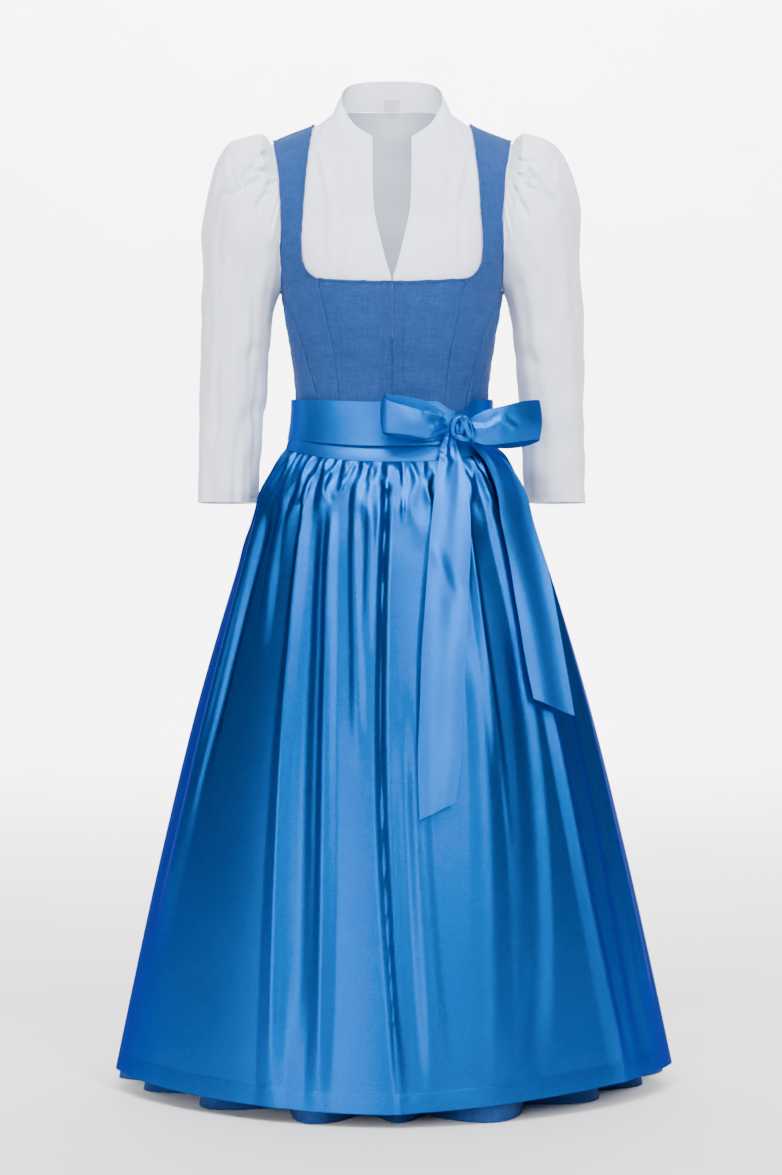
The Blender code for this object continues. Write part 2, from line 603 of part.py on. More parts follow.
def collar():
    """The stand collar, from one front end round the nape to the other, and a blank label inside the nape."""
    foot = neck_stations()
    lengths = np.r_[0, np.cumsum(np.linalg.norm(np.diff(foot, axis=0), axis=1))]
    stations = lengths / lengths[-1]
    rim = np.array([[column(COLLAR_RIM, name, s) for name in "xyz"] for s in stations])
    foot = np.concatenate([mirrored([foot[:0:-1]], -1)[0], foot])
    rim = np.concatenate([mirrored([rim[:0:-1]], -1)[0], rim])
    rows = [foot + (rim - foot) * share for share in (0, 0.5, 1)]
    across_rows = [np.gradient(row, axis=0) for row in rows]
    normals = [np.cross(step, rim - foot) for step in across_rows]
    normals = [-normal / np.linalg.norm(normal, axis=1, keepdims=True) for normal in normals]
    skins = [[row - normal * depth for row, normal in zip(rows, normals)] for depth in (0, POPLIN)]
    wall("blouse_collar", *(drawn_in(skin, (4 * GAP, 0)) for skin in skins), "poplin")
    middle = len(foot) // 2
    label = []
    for share in (-0.05, 0.35):
        row = foot + (rim - foot) * share
        reach = 0.012 / (row[middle + 1][0] - row[middle][0])
        row = [row[middle] + (row[middle + step] - row[middle]) * reach for step in (1, 0, -1)]
        label.append(np.array(row) - normals[0][middle] * (POPLIN + 3 * GAP))
    wall("neck_label", label, [row - normals[0][middle] * 0.0010 for row in label], "poplin")


def sleeve_place(turn, ring):
    """A point of a ring of the sleeve. turn is 0 at the outer edge, and goes over the front."""
    outer = np.array([ring.outer_x, ring.centre_y, ring.outer_z])
    inner = np.array([ring.inner_x, ring.centre_y, ring.inner_z])
    power = 2 / 2.2
    along, ahead = math.cos(turn), math.sin(turn)
    point = (outer + inner) / 2 + (outer - inner) / 2 * math.copysign(abs(along) ** power, along)
    point[1] -= ring.depth * math.copysign(abs(ahead) ** power, ahead)
    return point


def sleeves():
    """Two long gathered sleeves. Each starts with the points of its armhole."""
    levels = [lift for lift in blouse_levels() if lift >= UNDERARM]

    def seam_point(lift, face):
        return torso(phi_of(across(BLOUSE_ARMHOLE, lift), lift, face), lift, BLOUSE_OUT)

    armhole = np.array([seam_point(lift, "front") for lift in levels[::-1]]
                       + [seam_point(lift, "back") for lift in levels[1:-1]])
    count = len(armhole)
    halves = np.empty((2 * count, 3))
    halves[::2] = armhole
    halves[1::2] = (armhole + np.roll(armhole, -1, axis=0)) / 2
    centre = halves.mean(axis=0)
    outer = [halves + np.array([GAP, 0, 0])]
    inner = [moved_in(outer[0], centre[None, :] + np.array([[GAP, 0, 0]]), POPLIN)]
    turns = [math.pi * 2 * i / (2 * count) for i in range(2 * count)]
    for number, ring in enumerate(SLEEVE):
        steps = turns if ring.gather else turns[::2]
        points = np.array([sleeve_place(turn, ring) for turn in steps])
        hub = points.mean(axis=0)
        if ring.gather:
            waves = [0.0022 * ring.gather * (-1) ** i * max(0.0, math.cos(turn)) ** 0.5
                     for i, turn in enumerate(steps)]
            points = moved_in(points, hub[None, :], -np.array(waves)[:, None])
        outer.append(points)
        inner.append(moved_in(points, hub[None, :], POPLIN))
    for word, side in SIDES:
        wall(f"blouse_sleeve_{word}", mirrored(outer, side), mirrored(inner, side), "poplin", loop=True)


# ---------------------------------------------------------------- skirt
def skirt_roundness(drop, phi):
    """The exponent of the skirt's sections: the front half grows more pointed towards the hem."""
    low = max(0.0, drop - 0.25) / (SKIRT_LENGTH - 0.25) if math.cos(phi) > 0 else 0.0
    return ROUNDNESS - 0.3 * min(1.0, drop / 0.25) - 0.27 * low


def skirt_place(phi, drop, height, out):
    """A point of the skirt's outline at a drop below the waist seam, moved out."""
    x, y = ring_point(sizes_at(SKIRT, drop, out), phi, skirt_roundness(drop, phi))
    return x, y, height


def turned(angle):
    """An angle in degrees, brought between -180 and 180."""
    return (angle + 180) % 360 - 180


def bump(share):
    return math.cos(min(1.0, abs(share)) * math.pi / 2) ** 1.4


def linen_place(angle, down):
    """The linen skirt: pleats that open from the waist to the hem, and fine gathers at the waist."""
    phi = math.radians(angle)
    drop = down * SKIRT_LENGTH
    covered = smoothly((96 - abs(turned(angle))) / 16)
    deepest = 0.052 + 0.022 * covered
    crest = 0.0
    for pleat in PLEATS:
        middle = pleat.waist + (pleat.hem - pleat.waist) * down
        crest = max(crest, bump(turned(angle - middle) / (pleat.width + 2)) * pleat.depth)
    opened = 0.03 + 0.97 * max(0.0, down) ** 1.3
    out = -covered * across(UNDER_APRON, drop) - max(0.0, deepest - crest) * opened
    fine = 0.0018 * math.cos(math.radians(angle) * 360 / SKIRT_GATHER_PITCH) * smoothly((0.10 - down) / 0.10)
    out += fine * (1 - covered)
    top = waist_seam(phi)
    return skirt_place(phi, drop, top + (SKIRT_HEM - top) * down - GAP, out)


def graded(start, end, fine_rows, coarse_rows, fine_step):
    """Rows of (u, v): fine columns at the upper rows, and half as many below."""
    count = round((end - start) / fine_step / 2)
    rows = [[(u, v) for u in spaced(start, end, 2 * count)] for v in fine_rows]
    return rows + [[(u, v) for u in spaced(start, end, count)] for v in coarse_rows]


def downward(place):
    """The same surface with v counted upwards, so that its normals face out."""
    return lambda u, v: place(u, -v)


def up_rows(rows):
    return [[(u, -v) for u, v in row] for row in rows[::-1]]


def skirt():
    """Linen panels: the front below the apron, two sides and the back."""
    top = (0.0, 0.03, 0.07)
    low = (0.11, 0.17, 0.28, 0.41, 0.55, 0.70, 0.85, 1.0)
    panels = (("front", -60, 60, (), (*top, *low)), ("side_left", 60, 135, top, low),
              ("back", 135, 225, top, low), ("side_right", 225, 300, top, low))
    for name, start, end, fine, coarse in panels:
        grid = graded(start, end, fine, coarse, SKIRT_GATHER_PITCH / 4)
        surface_wall(f"skirt_{name}", downward(linen_place), up_rows(grid), LINEN, "linen",
                     columns=(GAP / 2, GAP / 2))


# ---------------------------------------------------------------- apron
def apron_seam(phi):
    """Height of the seam between the apron and its waistband."""
    return waist_seam(phi) - 0.0075 - 0.0121 * max(0.0, math.cos(phi)) ** 1.5


def apron_out(angle, down):
    """How far the apron's folds and gathers stand out."""
    out = 0.0
    for fold in FOLDS:
        if fold.start - 0.1 < down < fold.end + 0.1:
            middle = fold.top + (4 * fold.middle - 3 * fold.top - fold.hem) * down
            middle += (2 * fold.top + 2 * fold.hem - 4 * fold.middle) * down**2
            fade = smoothly((down - fold.start) / 0.12 + 0.3) * smoothly((fold.end - down) / 0.15 + 0.3)
            out += fold.height * fade * bump((angle - middle) / fold.width)
    start, end = APRON_SIDES
    wave = math.cos((angle - start) / (end - start) * APRON_GATHERS * 2 * math.pi)
    uneven = 1 + 0.3 * math.sin(angle * 0.23)
    settled = smoothly((down + 0.02) / 0.10)
    return out * settled + 0.0019 * wave * uneven * smoothly((0.13 - down) / 0.13)


def apron_place(angle, down):
    phi = math.radians(angle)
    top = apron_seam(phi)
    hem = APRON_HEM + APRON_LIFT * math.sin(phi) ** 2 + LEFT_LIFT * max(0.0, math.sin(2 * phi))
    height = top + (hem - top) * down
    return skirt_place(phi, waist_seam(phi) - height, height - GAP, apron_out(angle, down))


def apron():
    """The satin skirt of the apron, its waistband, and the tie that goes round over it."""
    start, end = APRON_SIDES
    fine = (0.0, 0.018, 0.045, 0.085)
    coarse = (0.13, 0.21, 0.32, 0.45, 0.59, 0.73, 0.87, 1.0)
    grid = graded(start, end, fine, coarse, (end - start) / APRON_GATHERS / 4)
    surface_wall("apron_skirt", downward(apron_place), up_rows(grid), SATIN, "satin")

    def band_place(angle, share):
        phi = math.radians(angle)
        bottom = apron_seam(phi)
        height = bottom + (WAISTBAND_TOP - bottom) * share
        low = np.array(skirt_place(phi, waist_seam(phi) - bottom, bottom, 0.0))
        high = np.array(torso(phi, height, WAISTBAND_OUT))
        part = smoothly(1 - (height - bottom) / 0.015)
        foot = np.array(torso(phi, bottom, WAISTBAND_OUT))
        return (*(high + (low - foot) * part)[:2], height)

    rows = [[(angle, share) for angle in spaced(start, end, 26)] for share in (0.0, 0.18, 0.4, 1.0)]
    surface_wall("apron_waistband", band_place, rows, SATIN, "satin")

    def tie_place(angle, share):
        phi = math.radians(angle)
        ahead = max(0.0, math.cos(phi)) ** 2
        low, high = TIE_LOW - 0.014 * ahead, TIE_HIGH - 0.009 * ahead
        near = 1 - smoothly((abs(turned(angle - KNOT_ANGLE)) - 3) / 12)
        low, high = low + 0.010 * near, high - 0.012 * near
        height = low + (high - low) * share
        x, y = ring_point(sizes_at(TIE, height, 0.0004 * math.sin(share * math.pi)), phi)
        return x, y, height

    turns = spaced(KNOT_ANGLE + 2, KNOT_ANGLE + 358, 36)
    rows = [[(angle, share) for angle in turns] for share in (0, 0.5, 1)]
    surface_wall("apron_tie", tie_place, rows, SATIN, "satin")


def along_table(rows, count):
    """A table read at evenly spaced places along it, as rows of the same kind."""
    kind = type(rows[0])
    keyed = namedtuple("Keyed", ("at", *kind._fields))
    table = [keyed(i, *row) for i, row in enumerate(rows)]
    places = spaced(0, len(rows) - 1, count)
    return [kind(*(column(table, name, place) for name in kind._fields)) for place in places]


def bow():
    """The bow: a knot, a loop at each side and two hanging ends, all of the tie's satin."""
    for name, table, facing in (("bow_loop_right", BOW_LEFT, -1), ("bow_loop_left", BOW_RIGHT, 1)):
        path = along_table(table, 16)
        line = np.array([(row.x, row.y) for row in path])
        step = np.gradient(line, axis=0)
        normal = np.stack([step[:, 1], -step[:, 0]], axis=1) * facing
        normal /= np.linalg.norm(normal, axis=1, keepdims=True)
        skins = []
        for depth in (0, SATIN):
            rows = []
            for share in (0, 0.33, 0.67, 1):
                full = 0.003 * math.sin(share * math.pi)
                points = line + normal * (full - depth)
                rows.append([(x, y, row.bottom + (row.top - row.bottom) * share)
                             for (x, y), row in zip(points, path)])
            skins.append(rows)
        wall(name, *skins, "satin")
    for name, table in (("tie_end_front", TAIL_FRONT), ("tie_end_side", TAIL_SIDE)):
        skins = []
        for depth in (0, SATIN):
            rows = []
            for row in along_table(table, 12)[::-1]:
                phi = math.radians(row.start)
                x, y, _ = skirt_place(phi, max(0.0, waist_seam(phi) - row.height), 0, row.out)
                way = np.array([math.cos(math.radians(row.turn)), math.sin(math.radians(row.turn))])
                ahead = np.array([way[1], -way[0]])
                points = []
                for share in spaced(0, 1, 4):
                    curl = 0.002 * math.sin(share * math.pi * 2)
                    place = np.array([x, y]) + way * row.width * share + ahead * (curl - depth)
                    points.append((*place, row.height - row.slant * share))
                rows.append(points)
            skins.append(rows)
        wall(name, *skins, "satin")
    knot()


def knot():
    """The knot, a rounded bundle with grooves where the cloth is drawn together."""
    mesh = bmesh.new()
    bmesh.ops.create_uvsphere(mesh, u_segments=12, v_segments=8, radius=1)
    turn = np.array([[math.cos(KNOT_TURN), -math.sin(KNOT_TURN)], [math.sin(KNOT_TURN), math.cos(KNOT_TURN)]])
    for vert in mesh.verts:
        angle = math.atan2(vert.co.y, vert.co.x)
        swell = 1 + 0.06 * math.cos(3 * angle + 4 * vert.co.z)
        full = [math.copysign(abs(value) ** 0.8, value) * size * swell
                for value, size in zip(vert.co, KNOT_HALF)]
        x, y = turn @ np.array(full[:2])
        vert.co = (KNOT_CENTRE[0] + x, KNOT_CENTRE[1] + y, KNOT_CENTRE[2] + full[2])
    finish("bow_knot", mesh, "satin")


def build():
    """Clear the scene and make every piece."""
    for existing in list(bpy.data.objects):
        bpy.data.objects.remove(existing)
    bodice()
    front_hooks()
    blouse_body()
    collar()
    sleeves()
    skirt()
    apron()
    bow()


build()
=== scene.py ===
"""Dressing of a dirndl set: fine cloth, sewing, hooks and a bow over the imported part, in a plain studio."""

import logging
import math
from collections.abc import Callable, Sequence
from dataclasses import dataclass, field
from enum import Enum
from functools import cache
from typing import ClassVar, NamedTuple

import bpy
import numpy as np
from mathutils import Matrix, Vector


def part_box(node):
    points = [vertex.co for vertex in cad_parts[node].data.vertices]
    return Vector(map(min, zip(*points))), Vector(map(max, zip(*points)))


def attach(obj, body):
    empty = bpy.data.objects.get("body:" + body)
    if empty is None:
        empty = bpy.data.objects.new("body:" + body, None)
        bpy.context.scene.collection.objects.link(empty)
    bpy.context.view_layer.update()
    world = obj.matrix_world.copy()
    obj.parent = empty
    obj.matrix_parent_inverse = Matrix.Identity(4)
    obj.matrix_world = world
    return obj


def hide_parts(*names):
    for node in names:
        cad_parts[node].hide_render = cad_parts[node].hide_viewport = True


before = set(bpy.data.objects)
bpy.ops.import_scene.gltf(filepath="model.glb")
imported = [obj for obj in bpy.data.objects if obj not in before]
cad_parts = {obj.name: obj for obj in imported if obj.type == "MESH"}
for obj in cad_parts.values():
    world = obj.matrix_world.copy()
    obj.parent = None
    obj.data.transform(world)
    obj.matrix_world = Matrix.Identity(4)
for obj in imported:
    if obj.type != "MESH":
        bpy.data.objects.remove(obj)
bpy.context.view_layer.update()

Array = np.ndarray
Piece = bpy.types.Object
Socket = bpy.types.NodeSocket
Where = Callable[[Array], Array]
log = logging.getLogger("dirndl")

# ---------------------------------------------------------------- sizes that the pieces share (metres)
GAP = 0.0003
LINEN = 0.0016
POPLIN = 0.0010
SATIN = 0.0010
LAYER = 0.0022
BLOUSE_OUT = -LINEN - LAYER
WAIST_SEAM = -0.400
WAIST_DIP = 0.010
SKIRT_HEM = -1.213
APRON_HEM = -1.197
APRON_LIFT = 0.009
LEFT_LIFT = 0.006
SKIRT_LENGTH = 0.813
WAISTBAND_TOP = -0.372
WAISTBAND_OUT = 0.0034
TIE_LOW = -0.396
TIE_HIGH = -0.346
BLOUSE_HEM = -0.255
BODICE_TOP = -0.208
BODICE_LOW = -0.4185
BODICE_BEND = -0.378
UNDERARM = -0.200
ARCH_BASE = -0.120
ARCH_SPAN = 0.130
ARCH_POWER = 1.15
RIDGE_LIFT = ARCH_BASE + ARCH_SPAN
SHOULDER_Y = 0.012
ROUNDNESS = 2.3
RIDGE_HEIGHT = 0.0497
RIDGE_SLOPE = 0.396
NECK_REACH = 0.105
NECK_RISE = 0.039
NECK_POINT = 0.078
KNOT_CENTRE = (0.0823, -0.1125, -0.3880)
KNOT_HALF = (0.0140, 0.0105, 0.0160)
KNOT_TURN = math.radians(29)
KNOT_ANGLE = 36
APRON_SIDES = (-75, 80)
APRON_GATHERS = 29
SKIRT_GATHER_PITCH = 7.5
HIP_DROP = 0.25
HIP_ROUNDING = 0.30
HEM_ROUNDING = 0.27
CREASE_FADE = 0.30
CREASE_START = 0.35
TROUGH_SHARE = 0.5
TROUGH_OFFSET = 1.8
CROWDING = 0.75
SHARP_ANGLE = math.radians(60)
STITCH_LIFT = 0.00012
STITCH_FILL = 0.78
STITCH_LEAN = 0.12
STITCH_SEED = 3


class Curve:
    """A smooth curve through the rows of a short table: its columns, read at a value of the first one."""

    def __init__(self, *rows: Sequence[float]) -> None:
        """Keep the rows, with their slopes.

        Args:
            rows: The place of each row, which rises, then its values.
        """
        table = np.array(rows, float)
        self.at, self.values = table[:, 0], table[:, 1:]
        self.slopes = np.gradient(self.values, self.at, axis=0)

    def __call__(self, at: Array | float) -> Array:
        """Read the curve.

        Args:
            at: Places along it.

        Returns:
            The values there, with a last axis for the columns where there are several.
        """
        at = np.clip(np.asarray(at, float), self.at[0], self.at[-1])
        i = np.clip(np.searchsorted(self.at, at) - 1, 0, len(self.at) - 2)
        span = (self.at[i + 1] - self.at[i])[..., None]
        t = (at - self.at[i])[..., None] / span
        rise = self.values[i + 1] - self.values[i]
        start, end = self.slopes[i] * span - rise, self.slopes[i + 1] * span - rise
        made = self.values[i] + rise * t + (start * (1 - t) - end * t) * t * (1 - t)
        return made[..., 0] if made.shape[-1] == 1 else made


def through(*rows: Sequence[float]) -> Curve:
    """A curve through rows that lie one step apart, from 0."""
    return Curve(*((step, *row) for step, row in enumerate(rows)))


# Sections of the figure and of what lies on it: height, half-width, depth in front, depth behind.
TORSO = Curve(
    (-0.430, 0.1305, 0.1120, 0.0930),
    (-0.400, 0.1275, 0.1080, 0.0900),
    (-0.365, 0.1240, 0.1035, 0.0865),
    (-0.345, 0.1235, 0.1030, 0.0860),
    (-0.314, 0.1256, 0.1070, 0.0870),
    (-0.278, 0.1310, 0.1180, 0.0905),
    (-0.242, 0.1372, 0.1275, 0.0955),
    (-0.206, 0.1425, 0.1320, 0.1000),
    (-0.178, 0.1495, 0.1290, 0.1025),
    (-0.150, 0.1600, 0.1190, 0.1040),
    (-0.120, 0.1700, 0.1060, 0.1030),
)
TIE = Curve(
    (-0.435, 0.1440, 0.1265, 0.1110),
    (-0.396, 0.1340, 0.1160, 0.0990),
    (-0.370, 0.1300, 0.1110, 0.0940),
    (-0.335, 0.1295, 0.1105, 0.0925),
)
# Outline of the skirt by the drop below the waist seam, in the same columns.
SKIRT = Curve(
    (0.0000, 0.1330, 0.1130, 0.1000),
    (0.0087, 0.1385, 0.1170, 0.1060),
    (0.0215, 0.1474, 0.1235, 0.1150),
    (0.0400, 0.1577, 0.1330, 0.1260),
    (0.0600, 0.1680, 0.1420, 0.1370),
    (0.1000, 0.1815, 0.1560, 0.1540),
    (0.1950, 0.2128, 0.1830, 0.1850),
    (0.3230, 0.2513, 0.2140, 0.2200),
    (0.5150, 0.3000, 0.2540, 0.2630),
    (0.7070, 0.3436, 0.2890, 0.3010),
    (0.8130, 0.3665, 0.3080, 0.3220),
)
UNDER_APRON = Curve((0.0000, 0.0038), (0.0200, 0.0055), (0.1000, 0.0085), (0.8130, 0.0120))


class Pleat(NamedTuple):
    """A pleat of the linen skirt, in degrees round it and metres at the hem."""

    waist: float
    hem: float
    width: float
    depth: float


class Fold(NamedTuple):
    """A fold of the apron: its angles in degrees, its height in metres, and the part of the length it has."""

    top: float
    middle: float
    hem: float
    height: float
    width: float
    start: float
    end: float


PLEATS = tuple(Pleat(*row) for row in (
    (2, 2, 8, 0.050), (20, 23.5, 13.5, 0.074), (50, 52, 12, 0.040), (76, 78, 13, 0.044),
    (102, 102, 12, 0.046), (126, 127, 13, 0.052), (150, 151, 12, 0.050), (174, 173, 11, 0.046),
    (198, 197, 13, 0.052), (222, 223, 13, 0.044), (248, 248, 13, 0.052), (272, 271, 11, 0.046),
    (291, 290, 10, 0.052), (315, 316, 11, 0.058), (340, 341, 9, 0.074),
))
FOLDS = tuple(Fold(*row) for row in (
    (-66, -62, -68, 0.0060, 5.0, 0.05, 0.75), (-57, -58, -58, -0.0050, 4.0, 0.08, 0.50),
    (-51, -41, -42, 0.0045, 3.6, 0.02, 0.30), (-36, -30, -26.5, 0.0062, 3.2, 0.00, 1.00),
    (-31, -24, -21.5, -0.0040, 3.0, 0.10, 0.90), (-24, -17.5, -17, 0.0054, 2.9, 0.08, 1.00),
    (-14, -9, -7, 0.0040, 2.6, 0.00, 0.46), (-6, -8, -8, 0.0032, 2.4, 0.04, 0.32),
    (-1, -3, 3, 0.0046, 2.0, 0.00, 1.00), (2, 3, 7, -0.0036, 3.0, 0.45, 1.00),
    (8, 7, 12, 0.0036, 3.4, 0.36, 0.95), (29, 25, 22, 0.0062, 5.0, 0.30, 1.00),
    (27, 29, 28, 0.0040, 2.6, 0.05, 0.50), (42, 39, 30, -0.0050, 4.5, 0.30, 0.95),
    (52, 50, 54, 0.0060, 3.4, 0.35, 1.00), (40, 44, 44, 0.0030, 3.0, 0.02, 0.40),
    (66, 64, 63, -0.0040, 4.0, 0.20, 1.00), (74, 72, 72, 0.0040, 4.0, 0.05, 0.90),
))
SHARP_FOLDS = tuple(Fold(*row) for row in (
    (-36, -30, -26.5, 0.0020, 1.1, 0.03, 0.95), (-24, -18.5, -16.5, 0.0016, 1.2, 0.15, 0.95),
    (-1, -3, 3, 0.0022, 0.8, 0.00, 1.00), (27, 30, 29, 0.0016, 1.1, 0.10, 0.60),
    (52, 50, 54, 0.0024, 1.1, 0.40, 1.00), (-62, -59, -64, 0.0018, 1.3, 0.15, 0.60),
))


# ---------------------------------------------------------------- shapes of the figure and the skirt
def smoothly(share: Array | float) -> Array:
    """0 below 0, 1 above 1, and a smooth step between."""
    share = np.clip(share, 0, 1)
    return share * share * (3 - 2 * share)


def bump(share: Array | float) -> Array:
    """1 at 0, falling softly to 0 at 1 on either side."""
    return np.cos(np.minimum(1, np.abs(share)) * math.pi / 2) ** 1.4


def signed_power(value: Array, power: Array | float) -> Array:
    """The power of the size of a value, with the value's sign."""
    return np.sign(value) * np.abs(value) ** power


def turned(angle: Array) -> Array:
    """Angles in degrees brought between -180 and 180."""
    return (angle + 180) % 360 - 180


def ring(sizes: Array, phi: Array, roundness: Array | float = ROUNDNESS) -> Array:
    """Points of a rounded section.

    Args:
        sizes: Half-width, depth in front and depth behind, on the last axis.
        phi: Angles, 0 at the front middle and rising towards the wearer's left.
        roundness: The section's exponent; 2 is an ellipse.

    Returns:
        x and y, on the last axis.
    """
    across, ahead = np.sin(phi), np.cos(phi)
    depth = np.where(ahead > 0, sizes[..., 1], sizes[..., 2])
    x = sizes[..., 0] * signed_power(across, 2 / roundness)
    return np.stack([x, -depth * signed_power(ahead, 2 / roundness)], -1)


def ridge(x: Array) -> Array:
    """Height of the shoulder line at x, with its rise towards the neck."""
    rise = np.maximum(0, 1 - (x / NECK_REACH) ** 2) ** 2
    return RIDGE_HEIGHT - RIDGE_SLOPE * np.abs(x) + NECK_RISE * rise


def torso(phi: Array, lift: Array | float, out: float = 0.0) -> Array:
    """Points of the torso, moved out.

    Args:
        phi: Angles round it.
        lift: Heights; above the arch's base they count up the shoulders.
        out: Distance from the bodice's outer face.

    Returns:
        The points.
    """
    phi, lift = np.broadcast_arrays(np.asarray(phi, float), np.asarray(lift, float))
    x, y = np.moveaxis(ring(TORSO(np.minimum(lift, ARCH_BASE)) + out, phi), -1, 0)
    turn = np.clip((lift - ARCH_BASE) / ARCH_SPAN, 0, 1) * math.pi / 2
    over_y = SHOULDER_Y + (y - SHOULDER_Y) * np.maximum(0, np.cos(turn)) ** ARCH_POWER
    over_z = ARCH_BASE + (ridge(x) + out - ARCH_BASE) * np.sin(turn) ** ARCH_POWER
    over = lift > ARCH_BASE
    return np.stack([x, np.where(over, over_y, y), np.where(over, over_z, lift)], -1)


def lift_of(height: Array | float, x: Array | float) -> Array:
    """The lift at which the torso has a height.

    Args:
        height: Real heights.
        x: How far from the middle they are read.

    Returns:
        The lifts.
    """
    share = np.clip((height - ARCH_BASE) / (ridge(np.asarray(x, float)) - ARCH_BASE), 0, 1)
    over = ARCH_BASE + ARCH_SPAN * np.arcsin(share ** (1 / ARCH_POWER)) * 2 / math.pi
    return np.where(np.asarray(height) <= ARCH_BASE, height, over)


def phi_of(x: Array, lift: Array, back: bool = False) -> Array:
    """The angle at which the torso's section reaches a distance from the middle.

    Args:
        x: The distances.
        lift: The sections' lifts.
        back: Whether the angle is taken at the back.

    Returns:
        The angles.
    """
    half = TORSO(np.minimum(lift, ARCH_BASE))[..., 0]
    turn = np.sign(x) * np.arcsin(np.minimum(1, (np.abs(x) / half) ** (ROUNDNESS / 2)))
    return math.pi - turn if back else turn


def between(near: Where, far: Where, lifts: Array, share: Array,
            backs: tuple[bool, bool] = (False, False)) -> Array:
    """Angles of a panel's points between two edges that are distances from the middle by lift."""
    start, end = phi_of(near(lifts), lifts, backs[0]), phi_of(far(lifts), lifts, backs[1])
    return start[:, None] + (end - start)[:, None] * share


def edge(*pairs: tuple[float, float]) -> Curve:
    """An edge given by pairs of real height and distance from the middle, as a curve by lift."""
    return Curve(*((float(lift_of(height, across)), across) for height, across in pairs))


def stepped(low: Curve, high: Curve, at: float) -> Where:
    """One edge up to a lift and another above it."""
    return lambda lift: np.where(lift <= at, low(lift), high(lift))


PRINCESS_SEAM = edge((-0.430, 0.0630), (-0.353, 0.0665), (-0.325, 0.0690), (-0.287, 0.0745),
                     (-0.2505, 0.0825), (BODICE_TOP, 0.0925))
NECKLINE = edge((BODICE_TOP, 0.0925), (-0.2060, 0.0972), (-0.2015, 0.1020), (-0.1930, 0.1074),
                (-0.1805, 0.1110), (-0.1520, 0.1128), (-0.1120, 0.1110), (-0.0640, 0.1077),
                (-0.0170, 0.1033), (0.0300, 0.0995))
SIDE_FRONT_SEAM = edge((-0.430, 0.0880), (-0.343, 0.0960), (-0.293, 0.1090), (-0.252, 0.1215),
                       (-0.2280, 0.1320), (BODICE_TOP, 0.1395))
ARMHOLE_FRONT = edge((BODICE_TOP, 0.1395), (-0.1775, 0.1400), (-0.1600, 0.1400), (-0.1245, 0.1386),
                     (-0.0890, 0.1412), (-0.0590, 0.1438), (-0.0380, 0.1480), (0.0300, 0.1538))
BACK_SEAM = edge((-0.430, 0.0380), (-0.345, 0.0340), (-0.240, 0.0520), (-0.160, 0.0700), (-0.1200, 0.0780))
BACK_NECKLINE = edge((-0.1200, 0.0780), (-0.1120, 0.0860), (-0.1000, 0.0940), (-0.0750, 0.1000),
                     (-0.0400, 0.1010), (0.0300, 0.0995))
ARMHOLE_BACK = edge((BODICE_TOP, 0.1395), (-0.1775, 0.1405), (-0.1245, 0.1400), (-0.0800, 0.1430),
                    (-0.0400, 0.1480), (0.0300, 0.1538))
BLOUSE_OPENING = edge((BLOUSE_HEM, 0.0012), (-0.2150, 0.0012), (-0.2050, 0.0014), (-0.1830, 0.0074),
                      (-0.1440, 0.0170), (-0.0967, 0.0240), (-0.0220, 0.0252))
BLOUSE_BAND = edge((BLOUSE_HEM, 0.0200), (-0.2030, 0.0200), (-0.1830, 0.0265), (-0.1440, 0.0365),
                   (-0.0967, 0.0445), (-0.0340, 0.0478))
NECK_SEAM = edge((-0.0340, 0.0478), (-0.0120, 0.0625), (0.0105, 0.0735), (0.0300, NECK_POINT))
NAPE_SEAM = Curve((0.0000, 0.0380), (0.0350, 0.0365), (0.0620, 0.0315), (NECK_POINT, 0.0262))
BLOUSE_ARMHOLE = edge((-0.2000, 0.1455), (-0.1800, 0.1432), (-0.1500, 0.1428), (-0.1040, 0.1436),
                      (-0.0830, 0.1450), (-0.0450, 0.1540), (0.0300, 0.1594))
BAND_TOP = float(BLOUSE_BAND.at[-1])


def waist_seam(phi: Array) -> Array:
    """Height of the seam between bodice and skirt."""
    return WAIST_SEAM - WAIST_DIP * np.maximum(0, np.cos(phi)) ** 2


def on_skirt(phi: Array, drop: Array, height: Array, out: Array | float) -> Array:
    """Points of the skirt's outline, moved out.

    Args:
        phi: Angles round it.
        drop: Drops below the waist seam.
        height: The heights that the points get.
        out: How far they are moved out.

    Returns:
        The points.
    """
    low = np.where(np.cos(phi) > 0, np.maximum(0, drop - HIP_DROP) / (SKIRT_LENGTH - HIP_DROP), 0)
    roundness = ROUNDNESS - HIP_ROUNDING * np.minimum(1, drop / HIP_DROP) - HEM_ROUNDING * low
    x, y = np.moveaxis(ring(SKIRT(drop) + np.asarray(out)[..., None], phi, roundness), -1, 0)
    return np.stack(np.broadcast_arrays(x, y, height), -1)


# ---------------------------------------------------------------- relief of cloth
class Crease(NamedTuple):
    """A soft ridge along a straight line on a cloth's two coordinates, with a shallow trough beside it."""

    start: tuple[float, float]
    end: tuple[float, float]
    height: float
    width: float


def creased(places: Array, creases: Sequence[Crease]) -> Array:
    """How far creases raise a cloth.

    Args:
        places: The cloth's own coordinates, on the last axis.
        creases: The creases.

    Returns:
        The height at each place.
    """
    made = np.zeros(places.shape[:-1])
    for crease in creases:
        start, end = np.array(crease.start), np.array(crease.end)
        length = np.linalg.norm(end - start)
        along = (end - start) / length
        from_start = places - start
        t = from_start @ along / length
        off = from_start @ np.array([-along[1], along[0]])
        fade = smoothly(np.minimum(t, 1 - t) / CREASE_FADE + CREASE_START)
        beside = TROUGH_SHARE * np.exp(-((off / crease.width - TROUGH_OFFSET) ** 2))
        made += crease.height * fade * (np.exp(-((off / crease.width) ** 2)) - beside)
    return made


def bent_lines(*rows: tuple) -> list[Crease]:
    """Creases along bent lines, each given by its height, its width and its stops, as one a stretch."""
    return [Crease(start, end, height, width)
            for height, width, *stops in rows for start, end in zip(stops, stops[1:])]


